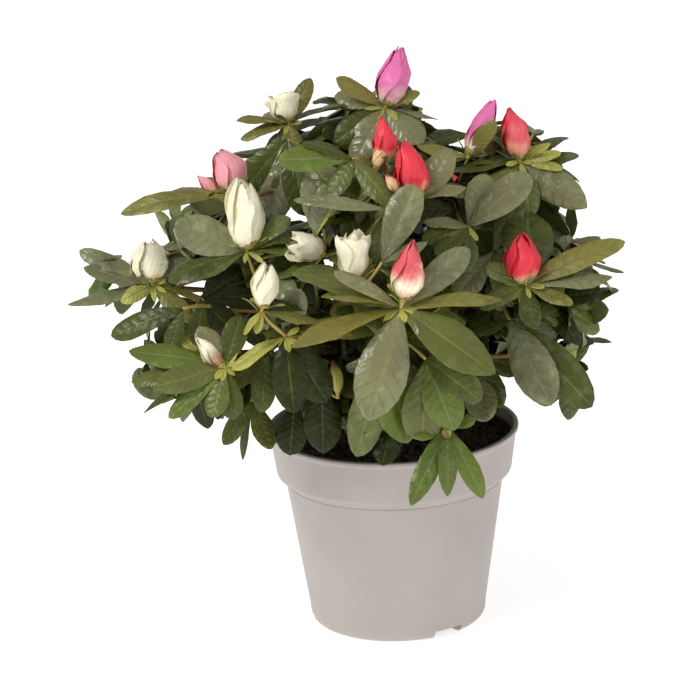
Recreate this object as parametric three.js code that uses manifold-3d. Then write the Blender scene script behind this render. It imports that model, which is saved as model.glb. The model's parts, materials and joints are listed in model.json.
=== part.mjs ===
// Azalea shrub in a round plastic nursery pot, in millimetres, +Z up.
// The origin is the middle of the pot's flat underside, -Y is the front and -X the shrub's fuller side.
// The shrub is a short stem that forks into boughs. Each bough ends where it enters its own mass of foliage.

import * as THREE from 'three';
import { mergeVertices } from 'three/addons/utils/BufferGeometryUtils.js';
import Module from 'manifold-3d';

const wasm = await Module();
wasm.setup();

// Driving dimensions of the pot
const potHeight = 104;
const rimRadius = 65;
const lipHeight = 3.2;
const lipOverhang = 1.2;
const collarHeight = 23;
const collarTopRadius = rimRadius - lipOverhang;
const collarFootRadius = 61;
const stepHeight = 3.6;
const bodyTopRadius = 56.4;
const bodyFootRadius = 45.6;
const footCornerRadius = 5;
const wallThickness = 1.4;
const roundSegments = 32;
const arcSteps = 2;

// Three drainage notches run in from the pot's foot, each under a raised ridge of the floor
const notchCount = 3;
const notchAzimuth = -55;
const notchWidth = 17;
const notchHeight = 4.6;
const notchInnerRadius = 22;
const drainHoleRadius = 4;
const drainHoleDistance = 33;
const drainHoleSegments = 12;

// Peat that fills the pot to just under its rim
const soilTop = potHeight - 6;
const clearance = 0.35;

// Stem and boughs: base radius and tip radius of each order of limb
const stem = { flareRadius: 11, flareFade: 6, baseRadius: 7, topRadius: 5.6, topHeight: 132, lean: [-5, 3] };
const leader = { baseRadius: 4.6, tipRadius: 2.2 };
const mainBough = { baseRadius: 4.2, tipRadius: 2.0 };
const sideBough = { baseRadius: 2.9, tipRadius: 1.5 };
const limbSides = 6;
const limbRings = 4;

// How far outwards a limb has gone at its bend, as a share of its reach: less for a limb that rises more
const limbBend = { level: 0.5, riseFade: 400, least: 0.3, most: 0.6, lift: 0.1 };

// Forks, as shares of the way along the limb that they leave, with the step from one fork to the next
const leaderFork = 0.97;
const mainFork = { first: 0.86, step: -0.13 };
const upperFork = { first: 0.24, step: 0.1 };
const sideFork = { first: 0.2, step: 0.13 };
const crowdingAngle = 30;

// Tiers of foliage round their own centres. Half sizes run outwards, sideways and up, and droop is how far
// the outer side of a mass hangs. Each place gives the azimuth, reach and height of one mass.
const tiers = [
  {
    tier: 'low',
    centre: [-12, -4],
    halfSize: [42, 43, 34],
    droop: 12,
    places: {
      left: [190, 84, 144],
      front_left: [242, 60, 142],
      front_right: [297, 80, 127],
      right: [3, 87, 140],
      back_right: [62, 82, 136],
      back_left: [124, 84, 140],
    },
  },
  {
    tier: 'middle',
    centre: [-20, -2],
    halfSize: [45, 46, 37],
    droop: 8,
    places: {
      left: [180, 99, 188],
      front_left: [236, 84, 191],
      front: [289, 92, 190],
      right: [340, 98, 190],
      back_right: [30, 91, 186],
      back: [80, 96, 192],
      back_left: [131, 92, 189],
    },
  },
  {
    tier: 'upper',
    centre: [-4, -2],
    halfSize: [40, 45, 36],
    droop: 5,
    places: {
      left: [187, 58, 238],
      front: [268, 60, 238],
      right: [353, 62, 240],
      back: [86, 58, 241],
    },
  },
];
const topMass = { centre: [0, -2, 267], halfSize: [34, 37, 37], droop: 0 };

// Unevenness of the masses: knobs where shoots stand out, and a small random stretch of each mass
const knobCount = 10;
const knobHeight = 0.26;
const knobSharpness = 13;
const knobScatter = 0.9;
const hollowShare = 0.82;
const undersideFlattening = 0.18;
const sizeScatter = 0.06;
const sizeSeed = 11;
const sphereDetail = 5;

const degrees = Math.PI / 180;
const goldenAngle = Math.PI * (3 - Math.sqrt(5));

// A repeatable stream of numbers from 0 to 1
function seededRandom(seed) {
  let state = seed;
  return () => {
    state = (state * 1664525 + 1013904223) % 4294967296;
    return state / 4294967296;
  };
}

// A closed three.js geometry as a solid that can be cut
function solidFrom(geometry) {
  const bare = geometry.index ? geometry.toNonIndexed() : geometry.clone();
  bare.deleteAttribute('normal');
  bare.deleteAttribute('uv');
  const merged = mergeVertices(bare, 1e-4);
  return new wasm.Manifold(
    new wasm.Mesh({
      numProp: 3,
      vertProperties: new Float32Array(merged.attributes.position.array),
      triVerts: new Uint32Array(merged.index.array),
    }),
  );
}

// The largest single body of a cut solid
function largestBody(solid) {
  return solid.decompose().reduce((best, body) => (body.volume() > best.volume() ? body : best));
}

function geometryFrom(solid) {
  const mesh = solid.getMesh();
  const positions = new Float32Array(mesh.numVert * 3);
  for (let i = 0; i < mesh.numVert; i += 1) {
    positions.set(mesh.vertProperties.subarray(i * mesh.numProp, i * mesh.numProp + 3), i * 3);
  }
  const geometry = new THREE.BufferGeometry();
  geometry.setAttribute('position', new THREE.BufferAttribute(positions, 3));
  geometry.setIndex(new THREE.BufferAttribute(new Uint32Array(mesh.triVerts), 1));
  geometry.computeVertexNormals();
  return geometry;
}

function material(color, roughness) {
  return new THREE.MeshStandardMaterial({ color, roughness, metalness: 0 });
}

const potPlastic = material(0xbbb1ac, 0.5);
const peat = material(0x2e211a, 0.95);
const bark = material(0x6b4a33, 0.85);
const foliageGreen = material(0x4c5a35, 0.6);

const shrub = new THREE.Group();

function addNode(name, solid, surface) {
  const node = new THREE.Mesh(geometryFrom(solid), surface);
  node.name = name;
  shrub.add(node);
}

// A profile turned round the Z axis
function turned(path) {
  const geometry = new THREE.LatheGeometry(path.getPoints(arcSteps), roundSegments);
  geometry.rotateX(Math.PI / 2);
  return solidFrom(geometry);
}

// A box that starts at a distance from the axis and runs outwards along an azimuth
function radialBox(azimuth, innerRadius, length, width, bottom, height) {
  const box = new THREE.BoxGeometry(length, width, height);
  box.translate(innerRadius + length / 2, 0, bottom + height / 2);
  box.rotateZ(azimuth * degrees);
  return solidFrom(box);
}

function notchAzimuths() {
  return Array.from({ length: notchCount }, (_, i) => notchAzimuth + (i * 360) / notchCount);
}

// Outer radius of the tapering body at a height
function bodyRadius(height) {
  const top = potHeight - collarHeight - stepHeight;
  return THREE.MathUtils.mapLinear(height, footCornerRadius, top, bodyFootRadius, bodyTopRadius);
}

// Outside of the pot from the axis at its underside to its rim, moved out by a margin
function potOutline(margin) {
  const bodyTop = potHeight - collarHeight - stepHeight;
  const path = new THREE.Path();
  path.moveTo(0, -margin);
  path.lineTo(bodyFootRadius - footCornerRadius, -margin);
  const cornerCentre = bodyFootRadius - footCornerRadius;
  path.absarc(cornerCentre, footCornerRadius, footCornerRadius + margin, -Math.PI / 2, 0);
  path.lineTo(bodyTopRadius + margin, bodyTop);
  path.lineTo(collarFootRadius + margin, bodyTop + stepHeight);
  path.lineTo(collarTopRadius + margin, potHeight - lipHeight);
  path.lineTo(rimRadius + margin, potHeight - lipHeight + lipOverhang);
  path.lineTo(rimRadius + margin, potHeight + margin);
  return path;
}

// The whole space inside the pot's outside, up to its rim
function potEnvelope(margin) {
  const path = potOutline(margin);
  path.lineTo(0, potHeight + margin);
  return turned(path);
}

// Thin-walled pot with a lip, a collar, a step, a tapering body and a notched foot
function makePot() {
  const bodyTop = potHeight - collarHeight - stepHeight;
  const path = potOutline(0);
  path.lineTo(collarTopRadius - wallThickness, potHeight);
  path.lineTo(collarFootRadius - wallThickness, bodyTop + stepHeight);
  path.lineTo(bodyTopRadius - wallThickness, bodyTop);
  path.lineTo(bodyRadius(wallThickness) - wallThickness - footCornerRadius / 2, wallThickness);
  path.lineTo(0, wallThickness);
  let pot = turned(path);
  const envelope = potEnvelope(0);
  for (const azimuth of notchAzimuths()) {
    const ridgeWidth = notchWidth + 2 * wallThickness;
    const ridgeStart = notchInnerRadius - wallThickness;
    const ridge = radialBox(azimuth, ridgeStart, bodyFootRadius, ridgeWidth, 0, notchHeight + wallThickness);
    pot = pot.add(ridge.intersect(envelope));
  }
  for (const azimuth of notchAzimuths()) {
    pot = pot.subtract(radialBox(azimuth, notchInnerRadius, rimRadius, notchWidth, -1, notchHeight + 1));
    const holeLength = 4 * notchHeight;
    const hole = new THREE.CylinderGeometry(drainHoleRadius, drainHoleRadius, holeLength, drainHoleSegments);
    hole.rotateX(Math.PI / 2);
    hole.translate(drainHoleDistance, 0, 0);
    hole.rotateZ(azimuth * degrees);
    pot = pot.subtract(solidFrom(hole));
  }
  return pot;
}

// Peat: follows the inside of the wall, clears the floor's ridges and ends flat under the rim
function makeSoil() {
  const bodyTop = potHeight - collarHeight - stepHeight;
  const inset = wallThickness + clearance;
  const bottom = wallThickness + clearance;
  const topRadius = THREE.MathUtils.mapLinear(
    soilTop, bodyTop + stepHeight, potHeight, collarFootRadius, collarTopRadius,
  );
  const path = new THREE.Path();
  path.moveTo(0, bottom);
  path.lineTo(bodyRadius(bottom) - inset - footCornerRadius / 2, bottom);
  path.lineTo(bodyTopRadius - inset, bodyTop);
  path.lineTo(collarFootRadius - inset, bodyTop + stepHeight);
  path.lineTo(topRadius - inset - clearance, soilTop);
  path.lineTo(0, soilTop);
  let soil = turned(path);
  for (const azimuth of notchAzimuths()) {
    const width = notchWidth + 2 * wallThickness + 2 * clearance;
    const height = notchHeight + wallThickness + clearance;
    soil = soil.subtract(radialBox(azimuth, notchInnerRadius - inset, rimRadius, width, 0, height));
  }
  return soil;
}

// One tapering limb: a cylinder whose rings are carried along a curve, with a radius for each share of it
function limbSolid(curve, radiusAt, margin) {
  const geometry = new THREE.CylinderGeometry(1, 1, 1, limbSides, limbRings);
  const position = geometry.attributes.position;
  const frames = curve.computeFrenetFrames(limbRings, false);
  const place = new THREE.Vector3();
  for (let i = 0; i < position.count; i += 1) {
    const ring = Math.round((position.getY(i) + 0.5) * limbRings);
    const along = ring / limbRings;
    const reach = radiusAt(along) + margin;
    curve.getPointAt(along, place);
    if (ring === 0) place.addScaledVector(frames.tangents[0], -margin);
    if (ring === limbRings) place.addScaledVector(frames.tangents[limbRings], margin);
    place.addScaledVector(frames.binormals[ring], position.getX(i) * reach);
    place.addScaledVector(frames.normals[ring], position.getZ(i) * reach);
    position.setXYZ(i, place.x, place.y, place.z);
  }
  return solidFrom(geometry);
}

// A limb's curve: it leaves its parent mostly outwards for a low mass and mostly upwards for a high one
function limbCurve(start, end) {
  const rise = end.z - start.z;
  const { level, riseFade, least, most, lift } = limbBend;
  const outwards = THREE.MathUtils.clamp(level - rise / riseFade, least, most);
  const upwards = 1 + lift - outwards;
  const bend = new THREE.Vector3(
    THREE.MathUtils.lerp(start.x, end.x, outwards),
    THREE.MathUtils.lerp(start.y, end.y, outwards),
    THREE.MathUtils.lerp(start.z, end.z, upwards),
  );
  return new THREE.QuadraticBezierCurve3(start, bend, end);
}

function makeStem() {
  const bottom = new THREE.Vector3(0, 0, soilTop + clearance);
  const top = new THREE.Vector3(stem.lean[0], stem.lean[1], stem.topHeight);
  const bend = new THREE.Vector3(0, 0, (bottom.z + top.z) / 2);
  const curve = new THREE.QuadraticBezierCurve3(bottom, bend, top);
  const radiusAt = (along) => {
    const flare = (stem.flareRadius - stem.baseRadius) * Math.exp(-stem.flareFade * along);
    return THREE.MathUtils.lerp(stem.baseRadius, stem.topRadius, along) + flare;
  };
  return { name: 'stem', curve, radiusAt };
}

// A mass of foliage: a ball stretched to its half sizes, with a knob for each bunch of shoots
function massSolid(mass, margin) {
  const random = seededRandom(mass.seed);
  const knobs = Array.from({ length: knobCount }, (_, k) => {
    const up = 1 - (2 * (k + 0.5)) / knobCount;
    const turn = k * goldenAngle + random() * knobScatter + mass.seed;
    const ring = Math.sqrt(1 - up * up);
    return new THREE.Vector3(ring * Math.cos(turn), ring * Math.sin(turn), up);
  });
  const geometry = new THREE.OctahedronGeometry(1, sphereDetail);
  const position = geometry.attributes.position;
  const way = new THREE.Vector3();
  for (let i = 0; i < position.count; i += 1) {
    way.fromBufferAttribute(position, i).normalize();
    const knob = knobs.reduce((sum, at) => sum + Math.exp(knobSharpness * (way.dot(at) - 1)), 0);
    const swell = hollowShare + knobHeight * Math.min(knob, 1);
    const underside = way.z < 0 ? 1 + undersideFlattening * way.z : 1;
    const hang = mass.droop * Math.max(way.x, 0) ** 2;
    const [outwards, sideways, upwards] = mass.halfSize.map((half) => half * swell);
    way.set(way.x * outwards, way.y * sideways, way.z * upwards * underside);
    way.setLength(way.length() + margin);
    position.setXYZ(i, way.x, way.y, way.z - hang);
  }
  geometry.rotateZ(mass.azimuth * degrees);
  geometry.translate(mass.centre.x, mass.centre.y, mass.centre.z);
  return solidFrom(geometry);
}

// Where every mass sits, tier by tier, each stretched a little differently
function placeMasses() {
  const random = seededRandom(sizeSeed);
  const masses = [];
  for (const { tier, centre, halfSize, droop, places } of tiers) {
    for (const [place, [azimuth, reach, height]] of Object.entries(places)) {
      masses.push({
        name: `${tier}_${place}`,
        tier,
        azimuth,
        droop,
        halfSize: halfSize.map((half) => half * (1 + (2 * random() - 1) * sizeScatter)),
        seed: masses.length + 1,
        centre: new THREE.Vector3(
          centre[0] + reach * Math.cos(azimuth * degrees),
          centre[1] + reach * Math.sin(azimuth * degrees),
          height,
        ),
      });
    }
  }
  const { centre, halfSize, droop } = topMass;
  masses.push({
    name: 'top',
    tier: 'top',
    azimuth: 0,
    droop,
    halfSize,
    seed: masses.length + 1,
    centre: new THREE.Vector3(...centre),
  });
  return masses;
}

function angleBetween(a, b) {
  return Math.abs(((a - b + 540) % 360) - 180);
}

function boughTo(mass, parent, along, size) {
  const start = parent.curve.getPointAt(along);
  return {
    name: `bough_${mass.name}`,
    mass,
    curve: limbCurve(start, mass.centre),
    radiusAt: (way) => THREE.MathUtils.lerp(size.baseRadius, size.tipRadius, way),
  };
}

function forkAt(fork, count) {
  return fork.first + fork.step * count;
}

// The order of branching: the leader and four main boughs leave the stem, and the upper masses' boughs leave
// the leader. Each of the rest forks from the main bough that is nearest in azimuth and least crowded.
function placeLimbs(masses) {
  const stemLimb = makeStem();
  const byName = (name) => masses.find((mass) => mass.name === name);
  const topBough = boughTo(byName('top'), stemLimb, leaderFork, leader);
  const mains = ['middle_left', 'middle_front', 'middle_right', 'middle_back'].map((name, i) =>
    boughTo(byName(name), stemLimb, forkAt(mainFork, i), mainBough),
  );
  const limbs = [stemLimb, topBough, ...mains];
  masses
    .filter((mass) => mass.tier === 'upper')
    .forEach((mass, i) => limbs.push(boughTo(mass, topBough, forkAt(upperFork, i), sideBough)));
  const forks = new Map(mains.map((bough) => [bough, 0]));
  const distance = (bough, mass) =>
    angleBetween(bough.mass.azimuth, mass.azimuth) + crowdingAngle * forks.get(bough);
  masses
    .filter((mass) => !limbs.some((limb) => limb.mass === mass))
    .sort((a, b) => a.centre.z - b.centre.z)
    .forEach((mass) => {
      const nearest = [...mains].sort((a, b) => distance(a, mass) - distance(b, mass))[0];
      limbs.push(boughTo(mass, nearest, forkAt(sideFork, forks.get(nearest)), sideBough));
      forks.set(nearest, forks.get(nearest) + 1);
    });
  return limbs;
}

// Every limb is cut clear of the limbs before it and ends where it enters its own mass
function cutLimbs(limbs) {
  const placed = [];
  for (const limb of limbs) {
    let solid = limbSolid(limb.curve, limb.radiusAt, 0);
    placed.forEach((other) => {
      solid = solid.subtract(other.grown);
    });
    if (limb.mass) solid = solid.subtract(massSolid(limb.mass, clearance));
    placed.push({
      ...limb,
      solid: largestBody(solid),
      grown: limbSolid(limb.curve, limb.radiusAt, clearance),
    });
  }
  return placed;
}

// Masses are cut clear of the pot, of the limbs that pass them and of the masses before them
function cutMasses(masses, limbs) {
  const potSpace = potEnvelope(clearance);
  const done = [];
  for (const mass of masses) {
    let solid = massSolid(mass, 0).subtract(potSpace);
    limbs
      .filter((limb) => limb.mass !== mass)
      .forEach((limb) => {
        solid = solid.subtract(limb.grown);
      });
    done.forEach((other) => {
      solid = solid.subtract(other.grown);
    });
    done.push({ name: mass.name, solid: largestBody(solid), grown: massSolid(mass, clearance) });
  }
  return done;
}

const masses = placeMasses();
const limbs = cutLimbs(placeLimbs(masses));
const foliage = cutMasses(masses, limbs);

addNode('pot', makePot(), potPlastic);
addNode('soil', makeSoil(), peat);
limbs.forEach((limb) => addNode(limb.name, limb.solid, bark));
foliage.forEach((mass) => addNode(`foliage_${mass.name}`, mass.solid, foliageGreen));

export default shrub;
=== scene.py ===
"""Looks of an azalea shrub in its nursery pot: bark, twigs, leaves, flower buds, pot, peat and stage.

The file is laid out as a Blender add-on. Sizes are in metres, +Z is up and -Y is the front.
"""

import json
import math
from collections import namedtuple

import bmesh
import bpy
import numpy as np
from mathutils import Matrix, Vector
from mathutils.bvhtree import BVHTree

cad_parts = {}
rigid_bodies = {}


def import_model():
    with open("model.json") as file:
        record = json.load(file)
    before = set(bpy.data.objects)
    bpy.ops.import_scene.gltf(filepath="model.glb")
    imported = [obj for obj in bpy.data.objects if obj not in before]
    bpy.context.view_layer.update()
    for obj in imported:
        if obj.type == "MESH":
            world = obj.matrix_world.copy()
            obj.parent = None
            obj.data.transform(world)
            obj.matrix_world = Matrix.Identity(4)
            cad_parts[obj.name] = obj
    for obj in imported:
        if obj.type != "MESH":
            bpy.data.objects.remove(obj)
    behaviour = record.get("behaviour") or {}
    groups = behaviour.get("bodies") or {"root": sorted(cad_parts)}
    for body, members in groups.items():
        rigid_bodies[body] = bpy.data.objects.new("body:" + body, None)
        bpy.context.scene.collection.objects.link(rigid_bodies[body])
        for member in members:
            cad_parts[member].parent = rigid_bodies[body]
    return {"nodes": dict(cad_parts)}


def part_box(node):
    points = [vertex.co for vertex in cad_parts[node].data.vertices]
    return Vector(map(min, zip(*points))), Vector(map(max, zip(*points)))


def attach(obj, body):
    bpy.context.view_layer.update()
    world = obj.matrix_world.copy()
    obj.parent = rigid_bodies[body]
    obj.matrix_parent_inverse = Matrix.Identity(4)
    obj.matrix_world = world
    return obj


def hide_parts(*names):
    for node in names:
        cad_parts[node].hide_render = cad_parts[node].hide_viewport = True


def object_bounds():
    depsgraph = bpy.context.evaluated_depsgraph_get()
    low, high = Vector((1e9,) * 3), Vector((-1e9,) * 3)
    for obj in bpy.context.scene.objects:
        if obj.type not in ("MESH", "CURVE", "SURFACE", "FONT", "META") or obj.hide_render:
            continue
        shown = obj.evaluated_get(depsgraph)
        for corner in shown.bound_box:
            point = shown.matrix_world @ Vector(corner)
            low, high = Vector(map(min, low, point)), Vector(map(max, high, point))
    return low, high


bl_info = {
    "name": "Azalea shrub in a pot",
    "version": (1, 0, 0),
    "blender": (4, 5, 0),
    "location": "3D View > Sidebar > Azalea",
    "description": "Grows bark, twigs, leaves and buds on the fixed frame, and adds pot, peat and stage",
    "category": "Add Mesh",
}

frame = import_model()
CAD_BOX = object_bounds()

MM = 0.001
GOLDEN_ANGLE = math.pi * (3 - math.sqrt(5))
POT_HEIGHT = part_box("pot")[1].z
RIM_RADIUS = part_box("pot")[1].x
PEAT_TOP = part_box("soil")[1].z
MASSES = sorted(name for name in frame["nodes"] if name.startswith("foliage_"))
BOUGHS = sorted(name for name in frame["nodes"] if name.startswith("bough_"))
TIERS = ("low", "middle", "upper", "top")

# The front view: how high and how far off the eye is, measured from the middle of the pot's rim
VIEW_ELEVATION = math.radians(18.0)
VIEW_DISTANCE = 2.207
VIEW_ROLL = math.radians(1.9)
RIM_CENTRE = np.array([0.0, 0.0, POT_HEIGHT])
RIGHT = np.array([1.0, 0.0, 0.0])
UPWARD = np.array([0.0, math.sin(VIEW_ELEVATION), math.cos(VIEW_ELEVATION)])
TOWARD = np.array([0.0, -math.cos(VIEW_ELEVATION), math.sin(VIEW_ELEVATION)])
SKYWARD = np.array([0.0, 0.0, 1.0])
EYE = RIM_CENTRE + TOWARD * VIEW_DISTANCE

# A shoot that shows from the front. place is how far its leaf base lies right of the rim's middle and above
# it, in mm across the view, and depth how many mm it sits in its mass, below 0 if it stands before it. The
# shoot points along clock, in degrees from up and clockwise, and leans by toward degrees to the eye. bud is
# (kind, length, width, openness) and stalk how many mm the bud stands off the leaf base. Each leaf is
# (clock, length, width, toward, facing, tone), with its sizes in mm: facing 1 shows its upper side to the
# eye and 0 turns it to the sky. extra is how many more leaves fill the far side of the shoot.
# The tone dark, on the leaves just inside the rim and deep in the crown, is painted shade.
Shoot = namedtuple("Shoot", "name place depth clock toward bud leaves extra stalk", defaults=(6, 2.5))

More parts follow.
